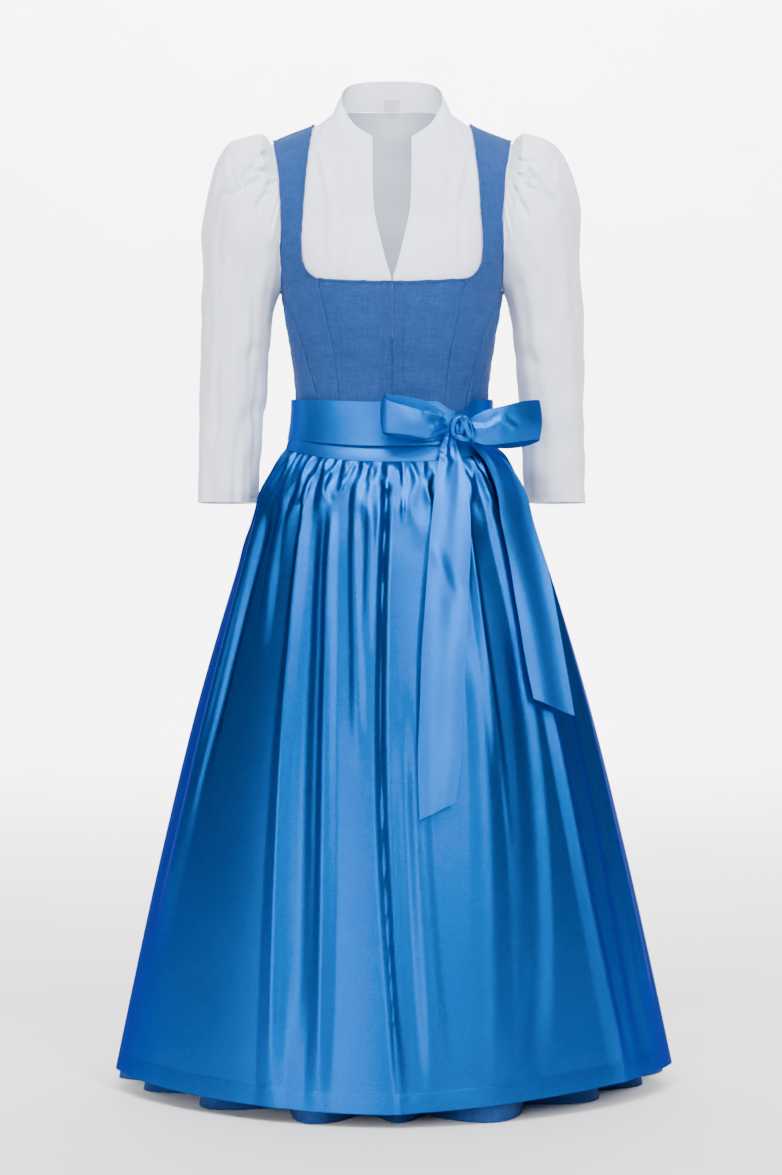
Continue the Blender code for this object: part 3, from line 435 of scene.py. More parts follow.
# Small crumples under the apron's gathers, by distance from the middle and height.
APRON_CRUMPLES = bent_lines(
    (0.0018, 0.0030, (-0.0765, -0.4412), (-0.0864, -0.4634), (-0.0790, -0.4832)),
    (0.0016, 0.0028, (-0.0580, -0.4260), (-0.0629, -0.4647), (-0.0444, -0.4300)),
    (0.0020, 0.0035, (-0.0370, -0.4300), (-0.0235, -0.4412), (-0.0308, -0.4540)),
    (0.0016, 0.0032, (-0.0160, -0.4486), (-0.0049, -0.4634), (-0.0110, -0.4760)),
    (0.0016, 0.0026, (0.0090, -0.4340), (0.0136, -0.5017), (0.0180, -0.4340)),
    (0.0020, 0.0034, (0.0494, -0.4400), (0.0420, -0.4634), (0.0469, -0.4819)),
    (0.0018, 0.0032, (-0.1180, -0.4500), (-0.1300, -0.4700)),
    (0.0018, 0.0034, (-0.1000, -0.4420), (-0.1080, -0.4700), (-0.1160, -0.4860)),
    (0.0018, 0.0032, (0.0880, -0.4380), (0.0980, -0.4600), (0.0960, -0.4800)),
    (0.0018, 0.0034, (0.1080, -0.4400), (0.1170, -0.4660), (0.1280, -0.4860)),
)
# Creases of the blouse, by distance from the middle and height: below the sleeves' heads, at the elbows, and
# from the shoulders down the fronts.
SLEEVE_CREASES = bent_lines(
    (0.0041, 0.0027, (0.1575, -0.0429), (0.1825, -0.0469), (0.2000, -0.0628), (0.2050, -0.0691)),
    (0.0064, 0.0026, (0.1700, -0.0564), (0.1838, -0.0724), (0.1888, -0.0835)),
    (0.0041, 0.0026, (0.1569, -0.0644), (0.1763, -0.0706)),
    (0.0037, 0.0032, (0.1569, -0.0919), (0.1656, -0.1044), (0.1700, -0.1181)),
    (0.0037, 0.0027, (0.1525, -0.0788), (0.1588, -0.0869)),
    (0.0041, 0.0032, (0.1625, -0.0731), (0.1800, -0.0856), (0.2050, -0.0956)),
    (0.0037, 0.0029, (0.1775, -0.0406), (0.1925, -0.0481), (0.2075, -0.0656)),
    (0.0032, 0.0029, (0.1900, -0.0831), (0.2100, -0.0994)),
    (0.0032, 0.0024, (0.1813, -0.0325), (0.1888, -0.0389)),
    (0.0032, 0.0024, (0.2013, -0.0453), (0.2050, -0.0563)),
    (0.0023, 0.0070, (0.1615, -0.2754), (0.1872, -0.3010)),
    (0.0021, 0.0080, (0.1680, -0.3497), (0.1885, -0.3831)),
    (0.0018, 0.0090, (0.2050, -0.1500), (0.1980, -0.2600)),
    (0.0017, 0.0100, (0.2200, -0.3100), (0.2120, -0.4300)),
    (0.0014, 0.0080, (0.1760, -0.1800), (0.1720, -0.2500)),
)
FRONT_CREASES = bent_lines(
    (0.0022, 0.0034, (0.0830, -0.0035), (0.0980, -0.0310)),
    (0.0022, 0.0050, (0.0900, -0.0400), (0.0760, -0.1100), (0.0780, -0.1800)),
    (0.0018, 0.0060, (0.0640, -0.0600), (0.0560, -0.1300)),
    (0.0018, 0.0045, (0.0450, -0.1500), (0.0620, -0.2050)),
)


@dataclass(frozen=True)
class Ripples:
    """Soft uneven waves, a sum of plane waves from a fixed seed."""

    seed: int
    height: float
    size: float
    stretch: float = 1.0
    count: int = 16
    spread: tuple[float, float] = (0.6, 1.8)

    def over(self, u: Array, v: Array) -> Array:
        """The waves' height.

        Args:
            u: The cloth's own coordinate across it.
            v: The one along it, which the stretch lengthens.

        Returns:
            The height at each place.
        """
        source = np.random.default_rng(self.seed)
        made = 0.0
        for _ in range(self.count):
            way = source.uniform(0, 2 * math.pi)
            wave = 2 * math.pi / (self.size * source.uniform(*self.spread))
            phase = source.uniform(0, 2 * math.pi)
            made = made + np.cos(wave * (u * math.cos(way) + v * math.sin(way) / self.stretch) + phase)
        return made * self.height / math.sqrt(self.count)


# ---------------------------------------------------------------- walls of cloth
def facing(points: Array, closed: bool) -> Array:
    """Unit normals of a grid of points, on the side from which its rows run up and its columns to the right.

    Args:
        points: The grid.
        closed: Whether its last column joins its first.

    Returns:
        A normal for each point.
    """
    if closed:
        along = np.roll(points, -1, 1) - np.roll(points, 1, 1)
    else:
        along = np.gradient(points, axis=1)
    normal = np.cross(along, np.gradient(points, axis=0))
    return normal / np.maximum(1e-12, np.linalg.norm(normal, axis=-1, keepdims=True))


def raised(points: Array, relief: Array, closed: bool = False) -> Array:
    """A grid of points moved out by a relief."""
    return points + facing(points, closed) * relief[..., None]


def squares(numbers: Array) -> Array:
    """The corners of every square of a grid of point numbers."""
    low, high = numbers[:-1], numbers[1:]
    return np.stack([low[:, :-1], low[:, 1:], high[:, 1:], high[:, :-1]], -1).reshape(-1, 4)


def wall_faces(grid: Array, behind: int, closed: bool) -> Array:
    """Corners of every face of a wall.

    Args:
        grid: Numbers of the outer skin's points.
        behind: What to add to get the inner skin's numbers.
        closed: Whether the last column is the first one again.

    Returns:
        Four numbers a face, all facing out.
    """
    quads = squares(grid)
    faces = [quads, quads[:, ::-1] + behind]
    walks = [grid[0, ::-1], grid[-1]] + ([] if closed else [grid[:, 0], grid[::-1, -1]])
    for walk in walks:
        faces.append(np.stack([walk[:-1], walk[1:], walk[1:] + behind, walk[:-1] + behind], -1))
    return np.concatenate(faces)


def put(name: str, data: bpy.types.ID) -> Piece:
    """Put an object in the scene, at the origin.

    Args:
        name: Its name.
        data: Its mesh, light or camera.

    Returns:
        The object.
    """
    made = bpy.data.objects.new(name, data)
    bpy.context.scene.collection.objects.link(made)
    return made


def mesh_object(name: str, points: Array, faces: Array | list, places: Array | None = None) -> Piece:
    """Make a smooth mesh object at the origin.

    Args:
        name: Its name.
        points: Its points.
        faces: The corners of each face.
        places: The cloth's coordinates at each face's corner, in metres.

    Returns:
        The object.
    """
    mesh = bpy.data.meshes.new(name)
    mesh.from_pydata(points.tolist(), [], faces.tolist() if isinstance(faces, np.ndarray) else faces)
    if places is not None:
        mesh.uv_layers.new(name="cloth").data.foreach_set("uv", places.astype(np.float32).ravel())
    mesh.shade_smooth()
    mesh.set_sharp_from_angle(angle=SHARP_ANGLE)
    return put(name, mesh)


def wall(name: str, points: Array, places: Array, thick: float, closed: bool = False) -> Piece:
    """A closed wall of cloth behind a grid of points.

    Args:
        name: The object's name.
        points: The outer face's points, in rows.
        places: The cloth's coordinates in metres, with one column more than the points where closed.
        thick: The wall's thickness.
        closed: Whether the last column joins the first.

    Returns:
        The object.
    """
    rows, columns = points.shape[:2]
    numbers = np.arange(rows * columns).reshape(rows, columns)
    if closed:
        numbers = np.hstack([numbers, numbers[:, :1]])
    inner = points - facing(points, closed) * thick
    corners = wall_faces(numbers, rows * columns, closed)
    spots = wall_faces(np.arange(numbers.size).reshape(numbers.shape), 0, closed)
    skins = np.concatenate([points.reshape(-1, 3), inner.reshape(-1, 3)])
    return mesh_object(name, skins, corners, places.reshape(-1, 2)[spots.ravel()])


def lengths(points: Array, axis: int) -> Array:
    """How far each point of a grid lies along its row or column, in metres.

    Args:
        points: The grid.
        axis: 1 along the rows, 0 up the columns.

    Returns:
        The lengths.
    """
    steps = np.linalg.norm(np.diff(points, axis=axis), axis=-1)
    start = np.zeros_like(np.take(steps, [0], axis=axis))
    return np.concatenate([start, np.cumsum(steps, axis=axis)], axis=axis)


def own_places(points: Array) -> Array:
    """A cloth's coordinates in metres: along its rows from their middle, and up its columns."""
    across = lengths(points, 1)
    return np.stack([across - across[:, -1:] / 2, lengths(points, 0)], -1)


class Edge(Enum):
    """The four edges of a panel's grid."""

    NEAR = "near"
    FAR = "far"
    FOOT = "foot"
    HEAD = "head"


def inset(points: Array, edge: Edge, depth: float) -> Array:
    """A line on a panel that runs along one of its edges, just off the cloth.

    Args:
        points: The panel's outer points, in rows.
        edge: The edge.
        depth: How far in the line lies.

    Returns:
        The line's points.
    """
    out = points + facing(points, False) * STITCH_LIFT
    if edge in (Edge.FOOT, Edge.HEAD):
        out = out.transpose(1, 0, 2)
    if edge in (Edge.FAR, Edge.HEAD):
        out = out[:, ::-1]
    far = lengths(out, 1)
    return np.array([[np.interp(depth, run, row[:, i]) for i in range(3)] for run, row in zip(far, out)])


def crowded(columns: int) -> Array:
    """Shares from 0 to 1 that lie closer together towards both ends."""
    at = np.linspace(0, 1, columns + 1)
    return at - CROWDING * np.sin(2 * math.pi * at) / (2 * math.pi)


def mirrored(points: Array, side: int) -> Array:
    """The grid on the wearer's left (side 1), or its mirror image with its columns turned round (side -1)."""
    return points if side > 0 else points[:, ::-1] * np.array([-1, 1, 1])


Shape = tuple[Array, Array, Array]


def skin(grid: Array) -> Shape:
    """The faces of a tube whose last column repeats its first, in rows that run up it, and its two caps.

    Args:
        grid: Its points, facing out where the columns turn to the left seen from above.

    Returns:
        Its points, the corners of its faces in fours, and the cloth's coordinates at each corner.
    """
    rows, columns = grid.shape[0], grid.shape[1] - 1
    numbers = np.arange(rows * columns).reshape(rows, columns)
    numbers = np.hstack([numbers, numbers[:, :1]])
    spots = np.arange(rows * (columns + 1)).reshape(rows, columns + 1)
    places = np.stack([lengths(grid, 1), lengths(grid, 0)], -1).reshape(-1, 2)
    points = grid[:, :-1].reshape(-1, 3)
    faces, corners = squares(numbers), places[squares(spots).ravel()]
    ends = np.array([grid[0, :-1].mean(axis=0), grid[-1, :-1].mean(axis=0)])
    points = np.concatenate([points, ends])
    for end, ring_at, walk in ((0, 0, slice(None)), (1, -1, slice(None, None, -1))):
        line, spot = numbers[ring_at][walk], spots[ring_at][walk]
        hub = np.full(columns, rows * columns + end)
        faces = np.concatenate([faces, np.stack([hub, hub, line[1:], line[:-1]], -1)])
        centre = places[spot[:-1]]
        cap = np.stack([centre, centre, places[spot[1:]], centre], 1)
        corners = np.concatenate([corners, cap.reshape(-1, 2)])
    return points, faces, corners


def joined(name: str, shapes: Sequence[Shape]) -> Piece:
    """One object from several closed shapes.

    Args:
        name: Its name.
        shapes: The points, faces and corners' places of each.

    Returns:
        The object.
    """
    points = np.concatenate([shape[0] for shape in shapes])
    starts = np.cumsum([0] + [len(shape[0]) for shape in shapes])
    faces, corners = [], []
    for start, (_, quads, places) in zip(starts, shapes):
        for quad, spots in zip(quads + start, places.reshape(-1, 4, 2)):
            three = quad[0] == quad[1]
            faces.append([int(n) for n in (quad[1:] if three else quad)])
            corners.append(spots[1:] if three else spots)
    return mesh_object(name, points, faces, np.concatenate(corners))


NO_PATH_STARTS_THIS_WAY = (0.05, -1.0, 0.08)


def tube(path: Array, wide: Array | float, thin: Array | float, sides: int,
         dents: Array | float = 0.0) -> Array:
    """The grid of an oval tube along a path, its last column the first again.

    Args:
        path: The points of its middle line.
        wide: Half its width at each point.
        thin: Half its thickness at each point.
        sides: How many sides it has.
        dents: How much each of its points is moved out, as a part of its radius.

    Returns:
        The grid, in rows along the path.
    """
    along = np.gradient(path, axis=0)
    along /= np.linalg.norm(along, axis=1, keepdims=True)
    across = np.cross(along[0], NO_PATH_STARTS_THIS_WAY)
    frames = []
    for way in along:
        across = across - way * (across @ way)
        across /= np.linalg.norm(across)
        frames.append((across, np.cross(way, across)))
    first, second = (np.array([pair[i] for pair in frames])[:, None] for i in (0, 1))
    turn = np.arange(sides + 1) * 2 * math.pi / sides
    wide, thin = (np.broadcast_to(size, len(path))[:, None, None] for size in (wide, thin))
    out = first * (np.cos(turn)[None, :, None] * wide) + second * (np.sin(turn)[None, :, None] * thin)
    return path[:, None] + out * (1 + np.broadcast_to(dents, out.shape[:2])[..., None])


# ---------------------------------------------------------------- finishes
class Held(Enum):
    """How a piece of cloth is held."""

    HUNG = "hung"
    GATHERED = "gathered"
    FOLDED = "folded"
    STRETCHED = "stretched"


@dataclass(frozen=True)
class Cut:
    """A piece's flat cut before it was sewn: its size in metres, its area, and how it is then held."""

    width: float
    length: float
    held: Held
    area: float | None = None


@dataclass(frozen=True)
class Gore:
    """A panel of a gathered skirt: its cut width at the waist and at the hem, and its length, in metres."""

    waist: float
    hem: float
    length: float = 0.815

    @property
    def cut(self) -> Cut:
        """The cut, a trapezium."""
        return Cut(self.hem, self.length, Held.GATHERED, (self.waist + self.hem) / 2 * self.length)

    def places(self, share: Array, down: Array) -> Array:
        """The cloth's own coordinates by share of the width and share of the length."""
        wide = self.waist + (self.hem - self.waist) * down
        return np.stack(np.broadcast_arrays((share - 0.5) * wide, (1 - down) * self.length), -1)


class Slot(Enum):
    """The finishes that the part's record names."""

    LINEN = "linen"
    POPLIN = "poplin"
    SATIN = "satin"
    HOOK_METAL = "hook_metal"


class Graph:
    """A node tree that is being wired."""

    def __init__(self, tree: bpy.types.NodeTree) -> None:
        """Take the tree."""
        self.tree = tree

    def add(self, kind: str, inputs: dict | None = None, **settings: object) -> bpy.types.Node:
        """Add a node.

        Args:
            kind: Its type.
            inputs: What feeds its inputs.
            settings: Its own properties.

        Returns:
            The node.
        """
        node = self.tree.nodes.new(kind)
        for name, value in settings.items():
            setattr(node, name, value)
        self.feed(node, inputs or {})
        return node

    def feed(self, node: bpy.types.Node, inputs: dict) -> None:
        """Link or set a node's inputs.

        Args:
            node: The node.
            inputs: By name or number, the socket that feeds each input or the value it is set to.
        """
        for key, value in inputs.items():
            if isinstance(value, Socket):
                self.tree.links.new(value, node.inputs[key])
            else:
                node.inputs[key].default_value = value

    def math(self, operation: str, first: object, second: object = 0.0) -> Socket:
        """The result of a Math node."""
        return self.add("ShaderNodeMath", {0: first, 1: second}, operation=operation).outputs[0]

    def vector(self, operation: str, first: object, second: object) -> Socket:
        """The result of a Vector Math node."""
        return self.add("ShaderNodeVectorMath", {0: first, 1: second}, operation=operation).outputs[0]

    def noise(self, vector: object, scale: float, detail: float) -> Socket:
        """The value of a Noise Texture."""
        return self.add("ShaderNodeTexNoise", {"Vector": vector, "Scale": scale, "Detail": detail}).outputs[0]

    def mixed(self, share: object, first: object, second: object) -> Socket:
        """A mix of two colours."""
        node = self.add("ShaderNodeMix", {0: share, 6: first, 7: second}, data_type="RGBA")
        return node.outputs[2]


def opened(colour: Sequence[float], factor: float) -> tuple[float, float, float, float]:
    """A colour made lighter or darker, with its alpha."""
    return (*(min(1.0, part * factor) for part in colour), 1.0)


def blank(name: str) -> tuple[bpy.types.Material, Graph, bpy.types.Node]:
    """A new material.

    Args:
        name: Its name.

    Returns:
        The material, its graph and its shader.
    """
    made = bpy.data.materials.new(name)
    made.use_nodes = True
    return made, Graph(made.node_tree), made.node_tree.nodes["Principled BSDF"]


def new_group(name: str, kind: str, inputs: Sequence[tuple[str, str]],
              outputs: Sequence[tuple[str, str]]) -> Graph:
    """A new node group with named sockets.

    Args:
        name: Its name.
        kind: Its type.
        inputs: The name and the type of each input, the type without its NodeSocket.
        outputs: The same for each output.

    Returns:
        The group's graph.
    """
    tree = bpy.data.node_groups.new(name, kind)
    for way, sockets in (("INPUT", inputs), ("OUTPUT", outputs)):
        for socket, holds in sockets:
            tree.interface.new_socket(socket, in_out=way, socket_type=f"NodeSocket{holds}")
    return Graph(tree)


@cache
def weave_group() -> bpy.types.NodeTree:
    """The weave that every cloth uses: crossing threads, with slubs along both of them.

    Returns:
        The group. It takes the cloth's own place in metres, the thread pitch and the strength of the slubs,
        and gives the height of the threads and the tone of the dye, both about 0.5.
    """
    wobble_size, thin, long = 0.09, 0.9, 0.06
    round_height, over_height = 0.6, 0.25
    graph = new_group("weave", "ShaderNodeTree", (("Cloth", "Vector"), ("Pitch", "Float"), ("Slub", "Float")),
                      (("Height", "Float"), ("Tone", "Float")))
    given = graph.add("NodeGroupInput").outputs
    scaled = {0: given["Cloth"], "Scale": graph.math("DIVIDE", 1.0, given["Pitch"])}
    count = graph.add("ShaderNodeVectorMath", scaled, operation="SCALE").outputs[0]
    wobble = graph.add("ShaderNodeTexNoise", {"Vector": count, "Scale": wobble_size, "Detail": 1.0})
    threads = graph.vector("ADD", count, wobble.outputs["Color"])
    parts = graph.add("ShaderNodeSeparateXYZ", {0: threads}).outputs
    warp, weft = (graph.math("SINE", graph.math("MULTIPLY", part, math.pi)) for part in parts[:2])
    crossed = graph.math("MULTIPLY", warp, weft)
    rounded = graph.math("MULTIPLY", graph.math("ABSOLUTE", crossed), round_height)
    over = graph.math("MULTIPLY", graph.math("GREATER_THAN", crossed, 0.0), over_height)
    along_weft, along_warp = (graph.noise(graph.vector("MULTIPLY", threads, way), 1.0, 1.0)
                              for way in ((long, thin, 1.0), (thin, long, 1.0)))
    slubs = graph.math("SUBTRACT", graph.math("ADD", along_weft, along_warp), 1.0)
    uneven = graph.math("MULTIPLY", slubs, given["Slub"])
    height = graph.math("ADD", graph.math("ADD", rounded, over), uneven)
    graph.add("NodeGroupOutput", {"Height": height, "Tone": graph.math("ADD", uneven, 0.5)})
    return graph.tree


@dataclass(frozen=True)
class ClothFinish:
    """A woven cloth: its dye, its gloss, its threads and how uneven they are."""

    name: str
    colour: tuple[float, float, float]
    rough: float
    pitch: float
    slub: float
    relief: float
    metal: float = 0.0
    sheen: float = 0.0
    sheen_rough: float = 0.4
    sheen_tint: tuple[float, float, float] = (1.0, 1.0, 1.0)
    stretched_gloss: float = 0.0
    specular: float = 0.5
    shade: float = 0.8
    light: float = 1.25
    edge_tint: tuple[float, float, float] = (1.0, 1.0, 1.0)
    glow: float = 0.0
    glow_depth: float = 0.004
    patches: float = 9.0
    patch_tone: float = 0.35
    rough_spread: float = 0.12

    def build(self) -> bpy.types.Material:
        """Make the material.

        Returns:
            A material that reads the cloth's own UV map, in metres.
        """
        made, graph, shader = blank(self.name)
        cloth = graph.add("ShaderNodeUVMap", uv_map="cloth").outputs[0]
        weave = graph.add("ShaderNodeGroup", {"Cloth": cloth, "Pitch": self.pitch, "Slub": self.slub},
                          node_tree=weave_group()).outputs
        patches = graph.math("SUBTRACT", graph.noise(cloth, self.patches, 3.0), 0.5)
        tone = graph.math("ADD", weave["Tone"], graph.math("MULTIPLY", patches, self.patch_tone))
        uneven = graph.math("MULTIPLY", weave["Tone"], self.rough_spread)
        threads = {"Height": weave["Height"], "Distance": self.relief, "Strength": 1.0}
        graph.feed(shader, {
            "Base Color": graph.mixed(tone, opened(self.colour, self.shade), opened(self.colour, self.light)),
            "Roughness": graph.math("ADD", uneven, self.rough - self.rough_spread / 2),
            "Normal": graph.add("ShaderNodeBump", threads).outputs[0], "Metallic": self.metal,
            "Specular IOR Level": self.specular, "Specular Tint": (*self.edge_tint, 1.0),
            "Sheen Weight": self.sheen, "Sheen Roughness": self.sheen_rough,
            "Sheen Tint": (*self.sheen_tint, 1.0), "Subsurface Weight": self.glow,
            "Subsurface Scale": self.glow_depth, "Subsurface Radius": (1.0, 1.0, 1.0),
        })
        if self.stretched_gloss:
            quarter_turn = 0.25
            tangent = graph.add("ShaderNodeTangent", direction_type="UV_MAP", uv_map="cloth").outputs[0]
            graph.feed(shader, {"Anisotropic": self.stretched_gloss, "Anisotropic Rotation": quarter_turn,
                                "Tangent": tangent})
        return made


@dataclass(frozen=True)
class HardFinish:
    """A smooth hard surface with faint marks, by object coordinates."""

    name: str
    colour: tuple[float, float, float]
    rough: float
    metal: float
    grain: float
    shade: float = 0.92
    light: float = 1.06
    rough_spread: float = 0.16

    def build(self) -> bpy.types.Material:
        """Make the material.

        Returns:
            A material that reads the object's own coordinates.
        """
        made, graph, shader = blank(self.name)
        marks = graph.noise(graph.add("ShaderNodeTexCoord").outputs["Object"], self.grain, 4.0)
        shades = opened(self.colour, self.shade), opened(self.colour, self.light)
        uneven = graph.math("MULTIPLY", marks, self.rough_spread)
        graph.feed(shader, {
            "Base Color": graph.mixed(marks, *shades),
            "Roughness": graph.math("ADD", uneven, self.rough - self.rough_spread / 2),
            "Metallic": self.metal,
        })
        return made


# The same satin cut across its grain, for the waistband, the tie and the bow. Its rougher gloss is the
# cloth's own, but its blue is lighter than the apron's, which is painted light on these pieces.
ACROSS_PAINTED_LIGHT = ClothFinish("blue satin, cut across", (0.002, 0.122, 0.510), 0.44, 0.0004, 0.9, 0.000040, metal=0.93,
                     stretched_gloss=0.3, edge_tint=(0.02, 0.22, 0.36), shade=0.80, light=1.20)
TAPE = ClothFinish("woven tape", (0.62, 0.63, 0.64), 0.60, 0.0003, 0.2, 0.00002, shade=0.94, light=1.05)
FINISHES = {
    Slot.LINEN: ClothFinish("blue linen", (0.0105, 0.048, 0.190), 0.80, 0.0007, 1.1, 0.00015, sheen=0.10,
                            sheen_tint=(0.45, 0.70, 1.0), specular=0.2, shade=0.62, light=1.40),
    Slot.POPLIN: ClothFinish("white poplin", (0.800, 0.855, 1.000), 0.75, 0.0004, 0.25, 0.00003, sheen=0.1,
                             specular=0.3, glow=0.10, shade=0.96, light=1.03),
    Slot.SATIN: ClothFinish("blue satin", (0.000, 0.090, 0.390), 0.34, 0.0004, 0.9, 0.000040, metal=0.95,
                            stretched_gloss=0.3, edge_tint=(0.00, 0.15, 0.26), shade=0.74, light=1.24),
    Slot.HOOK_METAL: HardFinish("hook steel", (0.55, 0.56, 0.58), 0.35, 1.0, 400.0),
}


# ---------------------------------------------------------------- sewing
@cache
def stitch_tree() -> bpy.types.NodeTree:
    """Geometry nodes that set stitches along lines: small rounded grains of thread, turned along their line.

    Returns:
        The group. It takes the lines, the stitches' pitch and length, the thread's radius, the seed of their
        lean and their material.
    """
    graph = new_group("stitches", "GeometryNodeTree",
                      (("Geometry", "Geometry"), ("Pitch", "Float"), ("Length", "Float"), ("Thread", "Float"),
                       ("Seed", "Int"), ("Material", "Material")), (("Geometry", "Geometry"),))
    given = graph.add("NodeGroupInput").outputs
    curve = graph.add("GeometryNodeMeshToCurve", {"Mesh": given["Geometry"]}).outputs[0]
    spaced = graph.add("GeometryNodeResampleCurve", {"Curve": curve, "Length": given["Pitch"]}, mode="LENGTH")
    grain = graph.add("GeometryNodeMeshUVSphere", {"Segments": 5, "Rings": 3, "Radius": 1.0}).outputs["Mesh"]
    half = graph.math("MULTIPLY", given["Length"], 0.5)
    size = graph.add("ShaderNodeCombineXYZ", {0: half, 1: given["Thread"], 2: given["Thread"]}).outputs[0]
    shaped = graph.add("GeometryNodeTransform", {"Geometry": grain, "Scale": size}).outputs[0]
    along = graph.add("GeometryNodeInputTangent").outputs[0]
    lean = graph.add("FunctionNodeRandomValue", {"Min": (-STITCH_LEAN,) * 3, "Max": (STITCH_LEAN,) * 3,
                                                 "Seed": given["Seed"]}, data_type="FLOAT_VECTOR").outputs[0]
    way = graph.vector("ADD", along, lean)
    turn = graph.add("FunctionNodeAlignRotationToVector", {"Vector": way}, axis="X").outputs[0]
    laid = graph.add("GeometryNodeInstanceOnPoints",
                     {"Points": spaced.outputs[0], "Instance": shaped, "Rotation": turn}).outputs[0]
    real = graph.add("GeometryNodeRealizeInstances", {"Geometry": laid}).outputs[0]
    dressed = graph.add("GeometryNodeSetMaterial", {"Geometry": real, "Material": given["Material"]})
    graph.add("NodeGroupOutput", {"Geometry": dressed.outputs[0]})
    return graph.tree


def stitched(name: str, lines: Sequence[Array], pitch: float, thread: float,
             material: bpy.types.Material) -> Piece:
    """Stitches along lines, as one plain mesh.

    Args:
        name: The object's name.
        lines: The points of each line.
        pitch: The distance from stitch to stitch.
        thread: The thread's radius.
        material: Its finish.

    Returns:
        The object.
    """
    starts = np.cumsum([0] + [len(line) for line in lines])
    edges = [(start + i, start + i + 1) for start, line in zip(starts, lines) for i in range(len(line) - 1)]
    guide_mesh = bpy.data.meshes.new(f"{name} guide")
    guide_mesh.from_pydata(np.concatenate(lines).tolist(), edges, [])
    guide = put(guide_mesh.name, guide_mesh)
    tree = stitch_tree()
    modifier = guide.modifiers.new("stitches", "NODES")
    modifier.node_group = tree
    inputs = {item.name: item.identifier for item in tree.interface.items_tree
              if item.item_type == "SOCKET" and item.in_out == "INPUT"}
    values = {"Pitch": pitch, "Length": pitch * STITCH_FILL, "Thread": thread, "Seed": STITCH_SEED,
              "Material": material}
    for key, value in values.items():
        modifier[inputs[key]] = value
    evaluated = guide.evaluated_get(bpy.context.evaluated_depsgraph_get())
    mesh = bpy.data.meshes.new_from_object(evaluated)
    guide.modifiers.remove(modifier)
    bpy.data.objects.remove(guide)
    mesh.name = name
    return put(name, mesh)


# ---------------------------------------------------------------- garments
THICKNESS = {Slot.LINEN: LINEN, Slot.POPLIN: POPLIN, Slot.SATIN: SATIN}
SIDES = (("left", 1), ("right", -1))


def both(name: str) -> tuple[str, str]:
    """The names of a node and of its twin."""
    return f"{name}_left", f"{name}_right"


@dataclass
class Garment:
    """What every garment of the set shares: its cloth, its sewing and how a piece is put in place."""

    cloth: ClassVar[Slot]
    stitch_pitch: ClassVar[float]
    thread: ClassVar[float]
    finishes: dict[Slot, bpy.types.Material]
    seams: list[Array] = field(default_factory=list)

    def turn_grain_with_painted_light(self) -> None:
        """Cut what comes next from satin turned across its grain, which shines more evenly, in a lighter blue
        that paints light onto it.
        """
        self.finishes = {**self.finishes, Slot.SATIN: ACROSS_PAINTED_LIGHT.build()}

    def place(self, piece: Piece, slot: Slot, node: str) -> Piece:
        """Dress a piece, let it ride on the part, and let it stand for a node of it.

        Args:
            piece: The piece.
            slot: Its finish.
            node: The node that it stands for.

        Returns:
            The piece.
        """
        piece.data.materials.append(self.finishes[slot])
        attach(piece, "root")
        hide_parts(node)
        log.info("%s: %d faces", piece.name, len(piece.data.polygons))
        return piece

    def lay(self, node: str, points: Array, cut: Cut, rests_on: Sequence[str], places: Array | None = None,
            closed: bool = False, thick: float | None = None) -> Piece:
        """Args:
            node: The node.
            points: The outer face's points, in rows.
            cut: Its flat cut; not used.
            rests_on: What it lies on or hangs from; not used.
            places: The cloth's own coordinates, or none to measure them.
            closed: Whether its last column joins its first.
            thick: Its thickness, or none for that of the garment's cloth.

        Returns:
            The piece.
        """
        places = own_places(points) if places is None else places
        piece = wall(f"{node}_cloth", points, places, thick or THICKNESS[self.cloth], closed)
        made = self.place(piece, self.cloth, node)
        return made

    def note(self, points: Array, depth: float, *edges: Edge, side: int = 1) -> None:
        """Note lines of stitches along edges of a panel, this far in; side -1 puts them on its twin."""
        self.seams += [inset(points, where, depth) * (side, 1, 1) for where in edges]

    def sew(self, name: str) -> None:
        """Lay the stitches along the lines that were noted, as one piece, in a thread that matches the cloth.

        Args:
            name: The piece's name.
        """
        cloth = FINISHES[self.cloth]
        matched = HardFinish(f"{cloth.name} thread", cloth.colour, 0.55, 0.0, 1500.0).build()
        made = stitched(name, self.seams, self.stitch_pitch, self.thread, matched)
        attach(made, "root")
        log.info("%s: %d faces along %d lines", name, len(made.data.polygons), len(self.seams))


class Groove(NamedTuple):
    """A groove beside the front opening: its distance from it, its width and its depth."""

    place: float
    width: float
    depth: float


class Panel(NamedTuple):
    """A panel of the bodice that has a twin: its rows, its two edges, its cut and its free edges."""

    name: str
    lifts: Array
    near: Where
    far: Where
    columns: int
    backs: tuple[bool, bool]
    cut: Cut
    free: tuple[Edge, ...]


# One hook and its eye, side view: places along the wire, across and up, as parts of half the hook's size.
HOOK_WIRES = (
    through((0.15, 0.9), (-0.75, 0.8), (-0.95, 0.35), (-0.55, 0.15), (0.65, 0.12), (0.95, 0.0), (0.65, -0.12),
            (-0.55, -0.15), (-0.95, -0.35), (-0.75, -0.8), (0.15, -0.9)),
    through((0.50, 0.55), (0.80, 0.75), (0.97, 0.30), (0.60, 0.0), (0.97, -0.30), (0.80, -0.75),
            (0.50, -0.55)),
)


